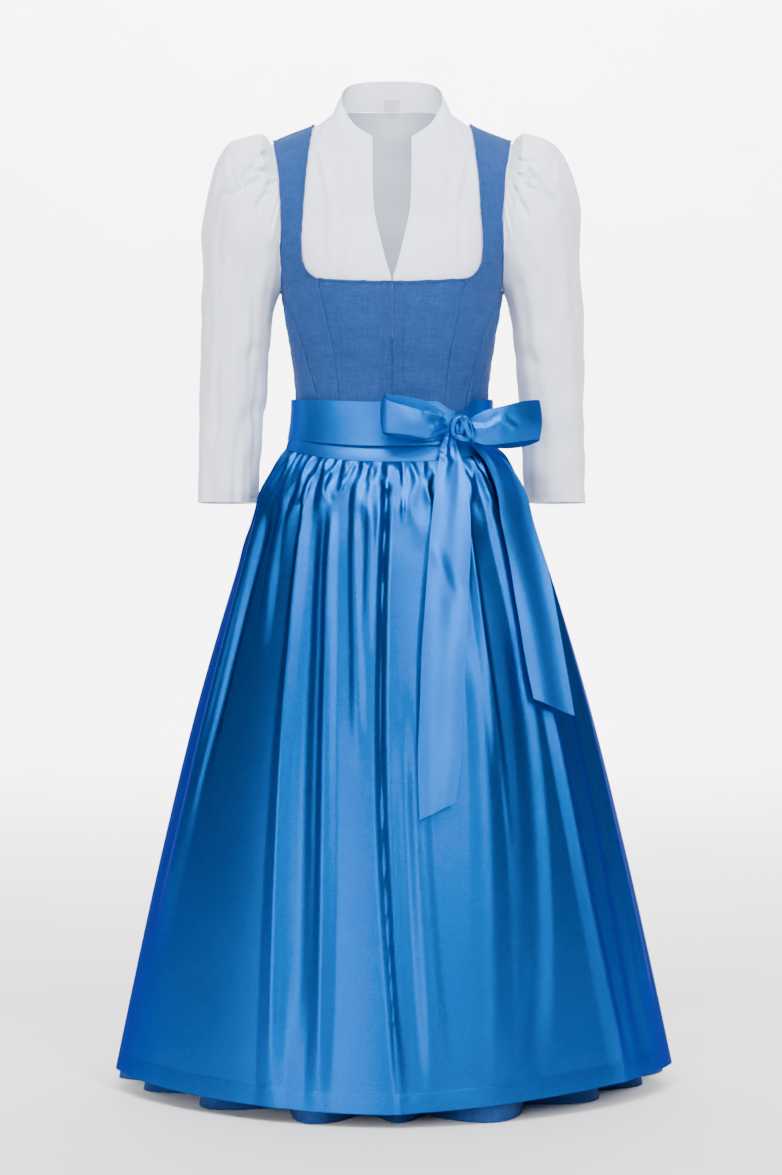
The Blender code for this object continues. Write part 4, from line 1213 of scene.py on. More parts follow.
@dataclass
class Bodice(Garment):
    """The linen bodice: fronts, side fronts with straps, sides, side backs with straps, and a back."""

    cloth = Slot.LINEN
    stitch_pitch = 0.0026
    thread = 0.00022
    rows: int = 52
    strap_rows: int = 62
    back_rows: int = 84
    edge_rows: tuple[float, ...] = (0.0048, 0.0042, 0.0037, 0.0033, 0.0029, 0.0025, 0.0020, 0.0012, 0.0005,
                                    0.0)
    edge_start: float = 0.006
    seam_depth: float = 0.0011
    seam_reach: float = 0.0013
    opening: float = 0.0001
    back_lap: float = 0.0005
    side_ease: float = 0.985
    corner_rise: float = 0.0075
    corner_angle: float = 0.72
    corner_end: float = 1.31
    corner_fade: float = 0.44
    strap_fade: float = 0.07
    swells: tuple[float, ...] = (0.00045, 0.045, 0.6)
    puckers: tuple[float, ...] = (0.00030, 0.014, 0.25)
    placket: tuple[Groove, ...] = (Groove(0.0, 0.0011, 0.0014), Groove(0.0058, 0.0012, 0.0006),
                                   Groove(0.0126, 0.0017, 0.0012))
    placket_stitches: tuple[float, ...] = (0.0045, 0.0118, 0.0134)
    edge_stitch: float = 0.0044
    edge_width: float = 0.0034
    edge_step: float = 0.0010
    edge_height: float = 0.0007
    edge_dent: float = 0.0002
    strap_stitch_start: float = 0.012
    hook_wire: float = 0.34
    hook_fill: float = 0.86

    def level(self, phi: Array, lift: Array) -> Array:
        """Heights for lifts: the lowest row follows the waist seam, and the upper edge rises to the corners.

        Args:
            phi: Angles round the bodice.
            lift: The lifts.

        Returns:
            The heights.
        """
        share = np.clip((lift - BODICE_LOW) / (BODICE_BEND - BODICE_LOW), 0, 1)
        low = (waist_seam(phi) + GAP) * (1 - share) + BODICE_BEND * share
        angle = np.abs(phi)
        rise = self.corner_rise * np.minimum(1, angle / self.corner_angle) ** 1.7
        rise = rise * smoothly((self.corner_end - angle) / self.corner_fade)
        up = np.clip((lift - BODICE_LOW) / (BODICE_TOP - BODICE_LOW), 0, 1)
        raised_lift = lift + rise * up**3 * np.clip(1 - (lift - BODICE_TOP) / self.strap_fade, 0, 1)
        return np.where(lift < BODICE_BEND, low, raised_lift)

    def grid(self, lifts: Array, near: Where, far: Where, columns: int, backs: tuple[bool, bool]) -> Array:
        """Points of a panel between two edges, in rows; backs says whether each edge lies at the back."""
        phi = between(near, far, lifts, crowded(columns), backs)
        return torso(phi, self.level(phi, lifts[:, None]))

    def sewn(self, points: Array, seed: int, free: Sequence[Edge] = (), whole: bool = False) -> Array:
        """The points of cloth that is drawn in at its seams, turned over at its free edges and softly uneven.

        Args:
            points: The panel's points.
            seed: What its unevenness grows from.
            free: Its edges that are free and turned over: the sides of a strap only above the seams.
            whole: Whether a free side edge is free all the way down, as beside the front opening.

        Returns:
            The points.
        """
        u, v = np.moveaxis(own_places(points), -1, 0)
        across, up = lengths(points, 1), lengths(points, 0)
        off = {Edge.NEAR: across, Edge.FAR: across[:, -1:] - across, Edge.HEAD: up[-1:] - up}
        above = smoothly((points[..., 2] - BODICE_TOP) / 0.004 + 0.5)
        relief = Ripples(seed, *self.swells).over(u, v) + Ripples(seed + 7, *self.puckers).over(u, v)
        for side in (Edge.NEAR, Edge.FAR):
            seam = -self.seam_depth * np.exp(-((off[side] / self.seam_reach) ** 2))
            if side in free:
                share = 1.0 if whole else above
                seam = seam * (1 - share) + self.turned_edge(off[side]) * share
            relief = relief + seam
        if whole:
            for groove in self.placket:
                relief = relief - groove.depth * np.exp(-(((across - groove.place) / groove.width) ** 2))
        if Edge.HEAD in free:
            relief = relief + self.turned_edge(off[Edge.HEAD])
        return raised(points, relief)

    def turned_edge(self, off: Array) -> Array:
        """How far the cloth stands out at a distance from an edge that is turned over and stitched down."""
        dent = self.edge_dent * np.exp(-(((off - self.edge_stitch) / self.edge_step) ** 2))
        return self.edge_height * smoothly((self.edge_width - off) / self.edge_step) - dent

    def hook(self, node: str) -> None:
        """Make one hook and eye of bent wire, where its node is.

        Args:
            node: The node it stands for.
        """
        low, high = (np.array(corner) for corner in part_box(node))
        centre, half = (low + high) / 2, (high - low) / 2
        wire = min(half[1], half[2]) * self.hook_wire
        shapes = []
        for bends in HOOK_WIRES:
            across, up = bends(np.linspace(0, bends.at[-1], 40)).T
            line = np.stack([across * half[0], across * 0, up * half[2]], -1) * self.hook_fill + centre
            shapes.append(skin(tube(line, wire, wire, 6)))
        self.place(joined(f"{node}_wire", shapes), Slot.HOOK_METAL, node)

    def panels(self) -> tuple[Panel, ...]:
        """The panels that have a twin.

        Returns:
            The front, the side front with its strap, the side, and the side back with its strap.
        """
        edge_rows = BODICE_TOP - np.array(self.edge_rows)
        low = np.concatenate([np.linspace(BODICE_LOW, BODICE_TOP - self.edge_start, self.rows), edge_rows])
        tall = np.concatenate([low, np.linspace(BODICE_TOP, RIDGE_LIFT, self.strap_rows)[1:]])
        side_seam: Where = lambda lift: TORSO(lift)[..., 0] * self.side_ease
        both_sides = (Edge.NEAR, Edge.FAR)
        return (
            Panel("front", low, lambda lift: lift * 0 + self.opening, PRINCESS_SEAM, 72, (False, False),
                  Cut(0.095, 0.212, Held.STRETCHED, 0.0163), (Edge.NEAR, Edge.HEAD)),
            Panel("side_front", tall, stepped(PRINCESS_SEAM, NECKLINE, BODICE_TOP),
                  stepped(SIDE_FRONT_SEAM, ARMHOLE_FRONT, BODICE_TOP), 36, (False, False),
                  Cut(0.060, 0.485, Held.STRETCHED, 0.0217), both_sides),
            Panel("side", low, SIDE_FRONT_SEAM, side_seam, 42, (False, True),
                  Cut(0.112, 0.200, Held.STRETCHED, 0.0187), (Edge.HEAD,)),
            Panel("side_back", tall, stepped(side_seam, ARMHOLE_BACK, BODICE_TOP),
                  stepped(BACK_SEAM, BACK_NECKLINE, ARCH_BASE), 38, (True, True),
                  Cut(0.120, 0.465, Held.STRETCHED, 0.0385), both_sides),
        )

    def sew_panel(self, panel: Panel, points: Array, side: int) -> None:
        """Note the stitches along a panel's free edges: three lines beside the opening, and one elsewhere.

        Args:
            panel: The panel.
            points: Its points on the wearer's left.
            side: -1 for its twin.
        """
        front = panel.name == "front"
        for where in panel.free:
            for depth in self.placket_stitches if front and where is Edge.NEAR else (self.edge_stitch,):
                line = inset(points, where, depth)
                if not front and where is not Edge.HEAD:
                    line = line[line[:, 2] > BODICE_TOP - self.strap_stitch_start]
                self.seams.append(line * (side, 1, 1))

    def build(self) -> None:
        """Make the bodice's nine panels, its sewing and its hooks."""
        body = (*both("blouse_front"), "blouse_back")
        for word, side in SIDES:
            for seed, panel in enumerate(self.panels(), 11 * (side + 2)):
                points = self.grid(panel.lifts, panel.near, panel.far, panel.columns, panel.backs)
                points = self.sewn(points, seed, panel.free, panel.name == "front")
                self.lay(f"bodice_{panel.name}_{word}", mirrored(points, side), panel.cut, body)
                self.sew_panel(panel, points, side)
        low = np.linspace(BODICE_LOW, ARCH_BASE - self.edge_start, self.back_rows)
        lifts = np.concatenate([low, ARCH_BASE - np.array(self.edge_rows)])
        points = self.grid(lifts, lambda lift: BACK_SEAM(lift) + self.back_lap,
                           lambda lift: -BACK_SEAM(lift) - self.back_lap, 56, (True, True))
        points = self.sewn(points, 91, (Edge.HEAD,))
        self.lay("bodice_back", points, Cut(0.162, 0.282, Held.STRETCHED, 0.0291), body)
        self.note(points, self.edge_stitch, Edge.HEAD)
        self.sew("bodice_stitches")
        for number in range(1, 6):
            self.hook(f"front_hook_{number}")


# Sections of a sleeve from the armhole to the cuff: number, outer side in x and z, inner side in x and z,
# half the depth, and the middle in y.
SLEEVE_RINGS = Curve(
    (1, 0.1680, -0.0085, 0.1440, -0.2060, 0.073, 0.003),
    (2, 0.1880, -0.0095, 0.1462, -0.2095, 0.079, 0.003),
    (3, 0.2070, -0.0175, 0.1480, -0.2135, 0.082, 0.003),
    (4, 0.2220, -0.0390, 0.1498, -0.2180, 0.082, 0.004),
    (5, 0.2325, -0.0690, 0.1515, -0.2245, 0.081, 0.005),
    (6, 0.2392, -0.1080, 0.1532, -0.2330, 0.078, 0.007),
    (7, 0.2415, -0.1570, 0.1556, -0.2500, 0.074, 0.011),
    (8, 0.2436, -0.2200, 0.1595, -0.2820, 0.069, 0.017),
    (9, 0.2455, -0.2900, 0.1635, -0.3270, 0.064, 0.024),
    (10, 0.2470, -0.3560, 0.1675, -0.3750, 0.059, 0.031),
    (11, 0.2486, -0.4180, 0.1715, -0.4260, 0.054, 0.039),
    (12, 0.2501, -0.4750, 0.1750, -0.4750, 0.050, 0.045),
)
# The collar's upper rim from the nape to its front end: share of the way, x, y, z.
COLLAR_RIM = Curve(
    (0.00, 0.0000, 0.0580, 0.0755),
    (0.16, 0.0300, 0.0540, 0.0740),
    (0.32, 0.0530, 0.0395, 0.0670),
    (0.50, 0.0640, 0.0130, 0.0520),
    (0.66, 0.0628, -0.0130, 0.0300),
    (0.82, 0.0490, -0.0400, 0.0030),
    (1.00, 0.0252, -0.0640, -0.0180),
)


@dataclass
class Blouse(Garment):
    """The white blouse: fronts with bands beside the opening, a back, a stand collar and gathered sleeves."""

    cloth = Slot.POPLIN
    stitch_pitch = 0.0020
    thread = 0.00014
    rows: int = 92
    front_columns: int = 60
    front_swells: tuple[float, ...] = (0.0006, 0.05, 1.6)
    crease_shift: float = 0.004
    band_rows: int = 90
    band_columns: int = 16
    band_slope: float = 0.13
    band_bend: float = 0.04
    band_stitch: float = 0.0012
    back_rows: int = 72
    back_columns: int = 88
    back_swells: tuple[float, ...] = (0.0006, 0.06, 1.5)
    seam_points: int = 60
    collar_points: int = 90
    collar_rows: int = 26
    collar_start: float = 0.008
    rim_stitch: float = 0.0020
    seam_stitch: float = 0.0016
    label_half: float = 0.012
    label_share: float = 0.42
    label_thick: float = 0.0006
    sleeve_columns: int = 178
    sleeve_roundness: float = 2.2
    sleeve_width: float = 0.36
    sleeve_swells: tuple[float, ...] = (0.0008, 0.05, 1.5)
    sleeve_waves: tuple[float, ...] = (0.0015, 0.030, 4.0)
    wave_radius: float = 0.055
    sleeve_shift: float = 0.0035
    back_shift: tuple[float, float] = (0.004, 0.006)
    front_sharpness: float = 5.0
    cuff_height: float = 0.0004
    cuff_width: float = 0.0075
    cuff_step: float = 0.0012
    cuff_stitch: float = 0.0068
    gather_count: int = 19
    gather_reach: int = 115

    @staticmethod
    def side_edge(lift: Array) -> Array:
        """Half the blouse's width at a lift: the side seam, and the armhole above the underarm."""
        return np.where(lift <= UNDERARM, TORSO(lift)[..., 0], BLOUSE_ARMHOLE(lift))

    @staticmethod
    def top_lift(station: Array) -> Array:
        """The lift of the back's upper edge: the nape seam between the neck's sides, the shoulder beyond."""
        x = np.abs(station) * BLOUSE_ARMHOLE(RIDGE_LIFT)
        return np.where(x < NECK_POINT - 1e-6, lift_of(NAPE_SEAM(x), x), RIDGE_LIFT)

    def fronts(self) -> None:
        """Make the two fronts."""
        lifts = np.linspace(BLOUSE_HEM, RIDGE_LIFT, self.rows)
        near = stepped(BLOUSE_BAND, NECK_SEAM, BAND_TOP)
        phi = between(near, self.side_edge, lifts, np.linspace(0, 1, self.front_columns + 1))
        points = torso(phi, lifts[:, None], BLOUSE_OUT)
        u, v = np.moveaxis(own_places(points), -1, 0)
        for word, side in SIDES:
            creases = creased(points[..., ::2] + (0.0, self.crease_shift * side), FRONT_CREASES)
            made = raised(points, Ripples(31 + side, *self.front_swells).over(u, v) + creases)
            self.lay(f"blouse_front_{word}", mirrored(made, side), Cut(0.158, 0.345, Held.HUNG, 0.0394),
                     both("bodice_side_front"))

    def bands(self) -> None:
        """Make the two bands beside the opening."""
        lifts = np.linspace(BLOUSE_HEM, BAND_TOP, self.band_rows)
        phi = between(BLOUSE_OPENING, BLOUSE_BAND, lifts, np.linspace(0, 1, self.band_columns + 1))
        flat = torso(phi, lifts[:, None], BLOUSE_OUT)
        slope = (BLOUSE_BAND(BAND_TOP) - flat[..., 0]) * self.band_slope
        bend = smoothly((lifts[:, None] - BAND_TOP) / self.band_bend + 1)
        points = torso(phi, lifts[:, None] + slope * bend, BLOUSE_OUT)
        for word, side in SIDES:
            self.note(points, self.band_stitch, Edge.NEAR, Edge.FAR, side=side)
            self.lay(f"blouse_band_{word}", mirrored(points, side), Cut(0.022, 0.246, Held.HUNG, 0.0049),
                     (f"blouse_front_{word}",))

    def back(self) -> None:
        """Make the back, in one piece."""
        stations = np.linspace(-1, 1, self.back_columns + 1)[None, :]
        levels = np.linspace(BLOUSE_HEM, RIDGE_LIFT, self.back_rows)[:, None]
        share = (levels - BLOUSE_HEM) / (RIDGE_LIFT - BLOUSE_HEM)
        lifts = BLOUSE_HEM + (self.top_lift(stations) - BLOUSE_HEM) * share
        points = torso(phi_of(stations * self.side_edge(levels), lifts, True), lifts, BLOUSE_OUT)[:, ::-1]
        u, v = np.moveaxis(own_places(points), -1, 0)
        points = raised(points, Ripples(37, *self.back_swells).over(u, v))
        self.lay("blouse_back", points, Cut(0.350, 0.330, Held.HUNG, 0.0965),
                 ("bodice_back", *both("bodice_side_back")))

    def neck_seam(self) -> Array:
        """The neck seam from the nape to the front end of the collar, on the blouse's outer face.

        Returns:
            Its points, evenly spaced.
        """
        reach = float(BLOUSE_ARMHOLE(RIDGE_LIFT))
        share = np.linspace(0, NECK_POINT / reach, self.seam_points)
        lifts = self.top_lift(share)
        nape = torso(phi_of(share * reach, lifts, True), lifts, BLOUSE_OUT)
        lifts = np.linspace(RIDGE_LIFT, BAND_TOP, self.seam_points)[1:]
        front = torso(phi_of(NECK_SEAM(lifts), lifts), lifts, BLOUSE_OUT)
        line = np.concatenate([nape, front])
        along = lengths(line[None], 1)[0]
        spots = np.linspace(0, along[-1], self.collar_points)
        return np.stack([np.interp(spots, along, line[:, i]) for i in range(3)], -1)

    def collar(self) -> None:
        """Make the stand collar and the blank label inside the nape."""
        foot, rim = (np.concatenate([half[:0:-1] * (-1, 1, 1), half])
                     for half in (self.neck_seam(), COLLAR_RIM(np.linspace(0, 1, self.collar_points))))
        share = np.linspace(self.collar_start, 1, self.collar_rows)[:, None, None]
        points = (foot + (rim - foot) * share)[:, ::-1]
        self.lay("blouse_collar", points, Cut(0.400, 0.042, Held.FOLDED, 0.0125),
                 ("blouse_back", *both("blouse_front")))
        self.note(points, self.rim_stitch, Edge.HEAD)
        self.note(points, self.seam_stitch, Edge.FOOT)
        middle = len(foot) // 2
        normal = facing(points, False)[4, middle]
        tall = np.linspace(0.0, self.label_share, 9)[:, None]
        across = np.linspace(-self.label_half, self.label_half, 13)[None, :, None]
        base = points[0, middle] + (points[-1, middle] - points[0, middle]) * tall
        label = base[:, None] - np.array([1, 0, 0]) * across - normal * (POPLIN + 4 * GAP)
        made = self.lay("neck_label", label, Cut(0.024, 0.017, Held.STRETCHED), ("blouse_collar",),
                        thick=self.label_thick)
        made.data.materials[0] = TAPE.build()

    def sleeve(self, turn: Array, at: Array) -> Array:
        """Points of a plain sleeve from its seam to its cuff.

        Args:
            turn: Angles round it, from its outer side.
            at: How far down each row lies, in rings.

        Returns:
            The points.
        """
        rows = SLEEVE_RINGS(np.maximum(1, at))[:, None, :]
        outer_x, outer_z, inner_x, inner_z, depth, y = np.moveaxis(rows, -1, 0)
        across, ahead = (signed_power(way(turn), 2 / self.sleeve_roundness) for way in (np.cos, np.sin))
        cloth = np.stack(np.broadcast_arrays((outer_x + inner_x) / 2 + (outer_x - inner_x) / 2 * across,
                                             y - depth * ahead,
                                             (outer_z + inner_z) / 2 + (outer_z - inner_z) / 2 * across), -1)
        shoulder = np.linspace(ARCH_BASE, RIDGE_LIFT, 7)[1:]
        levels = np.sort([UNDERARM, -0.172, -0.145, ARCH_BASE, BAND_TOP, *shoulder])[::-1]
        down = np.abs(turned(np.degrees(turn))) / 180 * (len(levels) - 1)
        lifts = np.interp(down, np.arange(len(levels)), levels)
        x = BLOUSE_ARMHOLE(lifts)
        front, back = (torso(phi_of(x, lifts, face), lifts, BLOUSE_OUT) for face in (False, True))
        seam = np.where((turn <= math.pi)[:, None], front, back) + np.array([2 * GAP, 0, 0])
        start = smoothly(at)[:, None, None]
        return seam * (1 - start) + cloth * start

    def sleeves(self) -> None:
        """Make the two long sleeves, with the gathers of their heads and their creases."""
        turn = np.arange(self.sleeve_columns) * 2 * math.pi / self.sleeve_columns
        cuff_rows = (11.88, 11.91, 11.95, 12)
        at = np.concatenate([np.linspace(0, 4, 56), np.linspace(4, 11.85, 60)[1:], cuff_rows])
        points = self.sleeve(turn, at)
        outward = points - points.mean(axis=1, keepdims=True)
        outward /= np.linalg.norm(outward, axis=-1, keepdims=True)
        points, outward, at = points[::-1], outward[::-1], at[::-1, None]
        up = lengths(points, 0)
        around = np.linspace(0, self.sleeve_width, self.sleeve_columns + 1)[None, :]
        places = np.stack(np.broadcast_arrays(around, up[:, :1]), -1)
        hem = self.cuff_height * smoothly((self.cuff_width - up) / self.cuff_step)
        ahead, behind = (np.clip(np.sin(turn) * sharpness, 0, 1)
                         for sharpness in (self.front_sharpness, -self.front_sharpness))
        x, y, z = np.moveaxis(points, -1, 0)
        for word, side in SIDES:
            waves = Ripples(61 + side, *self.sleeve_waves).over(turn * self.wave_radius, z) * smoothly(at / 4)
            relief = Ripples(51 + side, *self.sleeve_swells).over(z, x * 2 + y) + waves
            shifted = points[..., ::2] + (0.0, self.sleeve_shift * side)
            relief = relief + creased(shifted, SLEEVE_CREASES) * ahead
            relief = relief + creased(shifted + self.back_shift, SLEEVE_CREASES) * behind
            gathered = points + outward * self.gathers(turn, at, 71 + side)[..., None]
            made = raised(gathered, relief * smoothly(at / 0.5) + hem, True)
            self.note(np.concatenate([made, made[:, :1]], 1), self.cuff_stitch, Edge.FOOT, side=side)
            self.lay(f"blouse_sleeve_{word}", mirrored(made, side), Cut(0.400, 0.560, Held.GATHERED, 0.1700),
                     (f"blouse_front_{word}", "blouse_back"), places, True)

    def gathers(self, turn: Array, at: Array, seed: int) -> Array:
        """How far a sleeve's head stands out in gathers, each of its own length and height.

        Args:
            turn: Angles round the sleeve, from its outer side.
            at: How far down the sleeve, in rings.
            seed: What the gathers grow from.

        Returns:
            The height at each point.
        """
        out = np.zeros(np.broadcast(turn, at).shape)
        source = np.random.default_rng(seed)
        pitch = 2 * self.gather_reach / self.gather_count
        for i in range(self.gather_count):
            middle = -self.gather_reach + (i + 0.5 + source.uniform(-0.35, 0.35)) * pitch
            reach = 1.1 + 2.6 * source.uniform() ** 1.4
            height, width = source.uniform(0.0028, 0.0068), pitch * source.uniform(0.24, 0.38)
            sway = source.uniform(-2.5, 2.5)
            off = turned(np.degrees(turn) - middle - sway * at) / (width * (1 + 0.6 * at / reach))
            fade = smoothly((reach - at) / reach) ** 0.8
            out += height * np.exp(-(np.abs(off) ** 1.7)) * smoothly(at / 0.5) * fade
        return out

    def build(self) -> None:
        """Make every piece of the blouse."""
        self.fronts()
        self.bands()
        self.back()
        self.collar()
        self.sleeves()
        self.sew("blouse_stitches")


@dataclass
class Skirt(Garment):
    """The linen skirt: a front below the apron, two sides and a back, pleated from the waist."""

    cloth = Slot.LINEN
    rows: int = 80
    row_power: float = 0.8
    steps_a_degree: float = 1.25
    seam_gap: float = 0.03
    depth: float = 0.052
    front_depth: float = 0.022
    apron_edge: float = 96
    apron_fade: float = 16
    drawn_in: float = 0.03
    opening_power: float = 1.3
    gather_height: float = 0.0018
    gather_end: float = 0.10

    def points(self, angle: Array, down: Array) -> Array:
        """Points of the skirt's outer face.

        Args:
            angle: Angles round it, in degrees.
            down: Parts of its length, from the waist.

        Returns:
            The points.
        """
        phi = np.radians(angle)
        drop = down * SKIRT_LENGTH
        covered = smoothly((self.apron_edge - np.abs(turned(angle))) / self.apron_fade)
        deepest = self.depth + self.front_depth * covered
        crest = np.zeros(np.broadcast(angle, down).shape)
        for pleat in PLEATS:
            middle = pleat.waist + (pleat.hem - pleat.waist) * down
            crest = np.maximum(crest, bump(turned(angle - middle) / (pleat.width + 2)) * pleat.depth)
        open_share = self.drawn_in + (1 - self.drawn_in) * np.maximum(0, down) ** self.opening_power
        out = -covered * UNDER_APRON(drop) - np.maximum(0, deepest - crest) * open_share
        fine = self.gather_height * np.cos(np.radians(angle) * 360 / SKIRT_GATHER_PITCH)
        fine = fine * smoothly((self.gather_end - down) / self.gather_end)
        top = waist_seam(phi)
        height = top + (SKIRT_HEM - top) * down - GAP
        return on_skirt(phi, drop, height, out + fine * (1 - covered))

    def build(self) -> None:
        """Make the four panels."""
        down = (1 - np.linspace(0, 1, self.rows) ** self.row_power)[:, None]
        shapes = (("front", -60, 60, Gore(0.40, 0.87)), ("side_left", 60, 135, Gore(0.25, 0.47)),
                  ("back", 135, 225, Gore(0.34, 0.65)), ("side_right", 225, 300, Gore(0.25, 0.51)))
        for name, start, end, gore in shapes:
            columns = round((end - start) * self.steps_a_degree)
            angle = np.linspace(start + self.seam_gap, end - self.seam_gap, columns)[None, :]
            points = self.points(angle, down)
            places = gore.places((angle - start) / (end - start), down)
            self.lay(f"skirt_{name}", points, gore.cut, ("bodice_back",), places)


@dataclass
class Apron(Garment):
    """The satin apron: its gathered skirt, its waistband and the tie round it."""

    cloth = Slot.SATIN
    stitch_pitch = 0.0027
    thread = 0.00013
    top_rows: int = 56
    low_rows: int = 50
    columns: int = 282
    hem_columns: int = 24
    hem_angle: float = 3.1
    length: float = 0.790
    side_hem: float = 0.015
    foot_hem: float = 0.024
    hem_height: float = 0.00025
    side_stitch: float = 0.0135
    foot_stitch: float = 0.022
    hem_steps: tuple[float, float] = (0.0012, 0.0030)
    seed: int = 7
    band_dip: float = 0.0121
    band_base: float = 0.0075
    band_blend: float = 0.032
    tie_rows: int = 30
    tie_columns: int = 220
    tie_dips: tuple[float, float] = (0.014, 0.009)
    tie_pinches: tuple[float, float] = (0.010, 0.012)
    tie_fill: float = 0.0004
    tie_stitch: float = 0.0018
    knot_reach: float = 12

    def seam(self, phi: Array) -> Array:
        """Height of the seam between the apron and its waistband."""
        return waist_seam(phi) - self.band_base - self.band_dip * np.maximum(0, np.cos(phi)) ** 1.5

    def pinches(self, angle: Array, down: Array) -> Array:
        """How far the gathers below the seam stand out: each of its own length, height and sway.

        Args:
            angle: Angles round the apron, in degrees.
            down: Parts of its length, from the seam.

        Returns:
            The height at each point.
        """
        out = np.zeros(np.broadcast(angle, down).shape)
        start, end = APRON_SIDES
        pitch = (end - start) / APRON_GATHERS
        source = np.random.default_rng(self.seed)
        for i in range(APRON_GATHERS):
            at = start + (i + 0.5 + source.uniform(-0.30, 0.30)) * pitch
            reach = 0.055 + 0.21 * source.uniform() ** 1.5
            height, width = source.uniform(0.0050, 0.0080), pitch * source.uniform(0.30, 0.44)
            drift, sway, phase = source.uniform(-0.9, 0.9), source.uniform(0.05, 0.30), source.uniform(0, 6.3)
            middle = at + pitch * (drift * down / reach + sway * np.sin(phase + down * 70))
            spread = width * (1 + 1.3 * down / reach)
            swell = smoothly(down / 0.016 + 0.42) * smoothly((reach - down) / reach) ** 0.8
            out += height * np.exp(-(np.abs((angle - middle) / spread) ** 1.7)) * swell
        return out - 0.0032 * smoothly((0.17 - down) / 0.17) * smoothly(down / 0.015 + 0.40)

    def folds(self, angle: Array, down: Array) -> Array:
        """How far the apron's folds and gathers stand out.

        Args:
            angle: Angles round it, in degrees.
            down: Parts of its length, from the seam.

        Returns:
            The height at each point.
        """
        out = np.zeros(np.broadcast(angle, down).shape)
        for fold in FOLDS + SHARP_FOLDS:
            middle = fold.top + (4 * fold.middle - 3 * fold.top - fold.hem) * down
            middle = middle + (2 * fold.top + 2 * fold.hem - 4 * fold.middle) * down**2
            fade = smoothly((down - fold.start) / 0.12 + 0.3) * smoothly((fold.end - down) / 0.15 + 0.3)
            out += fold.height * fade * bump((angle - middle) / fold.width)
        return out * smoothly((down + 0.02) / 0.10) + self.pinches(angle, down)

    def points(self, angle: Array, down: Array) -> Array:
        """Points of the apron's outer face.

        Args:
            angle: Angles round it, in degrees.
            down: Parts of its length, from the seam.

        Returns:
            The points.
        """
        phi = np.radians(angle)
        top = self.seam(phi)
        hem = APRON_HEM + APRON_LIFT * np.sin(phi) ** 2 + LEFT_LIFT * np.maximum(0, np.sin(2 * phi))
        height = top + (hem - top) * down
        return on_skirt(phi, waist_seam(phi) - height, height - GAP, self.folds(angle, down))

    def relief(self, points: Array) -> Array:
        """The doubled hems at the sides and the foot, and the small crumples under the gathers.

        Args:
            points: The apron's points, in rows.

        Returns:
            The height at each point.
        """
        across = lengths(points, 1)
        off_side = np.minimum(across, across[:, -1:] - across)
        doubled = np.maximum(smoothly((self.side_hem - off_side) / self.hem_steps[0]),
                             smoothly((self.foot_hem - lengths(points, 0)) / self.hem_steps[1]))
        dents = creased(points[..., ::2], APRON_CRUMPLES) * (points[..., 1] < 0)
        return self.hem_height * doubled + dents

    def skirt(self) -> None:
        """Make the apron's skirt, with rows and columns close together at its hems."""
        start, end = APRON_SIDES
        hem = np.linspace(0, self.hem_angle, self.hem_columns)
        inner = np.linspace(start + self.hem_angle + 0.1, end - self.hem_angle - 0.1, self.columns)
        angle = np.concatenate([start + hem, inner, end - hem[::-1]])[None, :]
        foot = 1 - self.foot_hem / self.length
        foot_rows = [1, 0.9995, foot + 0.003, foot + 0.0015, foot, foot - 0.0015]
        low = np.linspace(0.26, foot - 0.004, self.low_rows)[::-1]
        down = np.concatenate([foot_rows, low, np.linspace(0.258, 0, self.top_rows)])[:, None]
        gore = Gore(0.62, 0.94, self.length)
        points = self.points(angle, down)
        points = raised(points, self.relief(points))
        self.lay("apron_skirt", points, gore.cut, ("skirt_front",),
                 gore.places((angle - start) / (end - start), down))
        self.note(points, self.side_stitch, Edge.NEAR, Edge.FAR)
        self.note(points, self.foot_stitch, Edge.FOOT)

    def waistband(self) -> None:
        """Make the waistband, which follows the skirt at its lower edge and the bodice above."""
        start, end = APRON_SIDES
        phi = np.radians(np.linspace(start, end, 150))[None, :]
        share = np.linspace(0, 1, 22)[:, None]
        bottom = self.seam(phi)
        height = bottom + (WAISTBAND_TOP - bottom) * share
        low = on_skirt(phi, waist_seam(phi) - bottom, bottom, 0.0)
        foot, high = torso(phi, bottom, WAISTBAND_OUT), torso(phi, height, WAISTBAND_OUT)
        points = high + (low - foot) * smoothly(1 - (height - bottom) / self.band_blend)[..., None]
        points[..., 2] = height
        self.lay("apron_waistband", points, Cut(0.345, 0.056, Held.STRETCHED, 0.0182), both("bodice_front"))

    def tie(self) -> None:
        """Make the tie round the waist, narrower where it runs into the knot."""
        gap = 2
        angle = np.linspace(KNOT_ANGLE + gap, KNOT_ANGLE + 360 - gap, self.tie_columns)[None, :]
        phi = np.radians(angle)
        ahead = np.maximum(0, np.cos(phi)) ** 2
        near = 1 - smoothly((np.abs(turned(angle - KNOT_ANGLE)) - 3) / self.knot_reach)
        low = TIE_LOW - self.tie_dips[0] * ahead + self.tie_pinches[0] * near
        high = TIE_HIGH - self.tie_dips[1] * ahead - self.tie_pinches[1] * near
        share = np.linspace(0, 1, self.tie_rows)[:, None]
        height = low + (high - low) * share
        sizes = TIE(height) + (self.tie_fill * np.sin(share * math.pi))[..., None]
        x, y = np.moveaxis(ring(sizes, phi), -1, 0)
        points = np.stack([x, y, height], -1)
        self.lay("apron_tie", points, Cut(0.715, 0.055, Held.STRETCHED), ("apron_waistband",))
        self.note(points, self.tie_stitch, Edge.FOOT, Edge.HEAD)

    def build(self) -> None:
        """Make the apron's skirt, its waistband and its tie, and sew them."""
        self.skirt()
        # The waistband and the tie get the satin's lighter blue, which is painted light.
        self.turn_grain_with_painted_light()
        self.waistband()
        self.tie()
        self.sew("apron_stitches")


class Strand(NamedTuple):
    """A roll of cloth in the knot: half its width and thickness, and its path about the knot's middle."""

    wide: float
    thin: float
    path: Curve


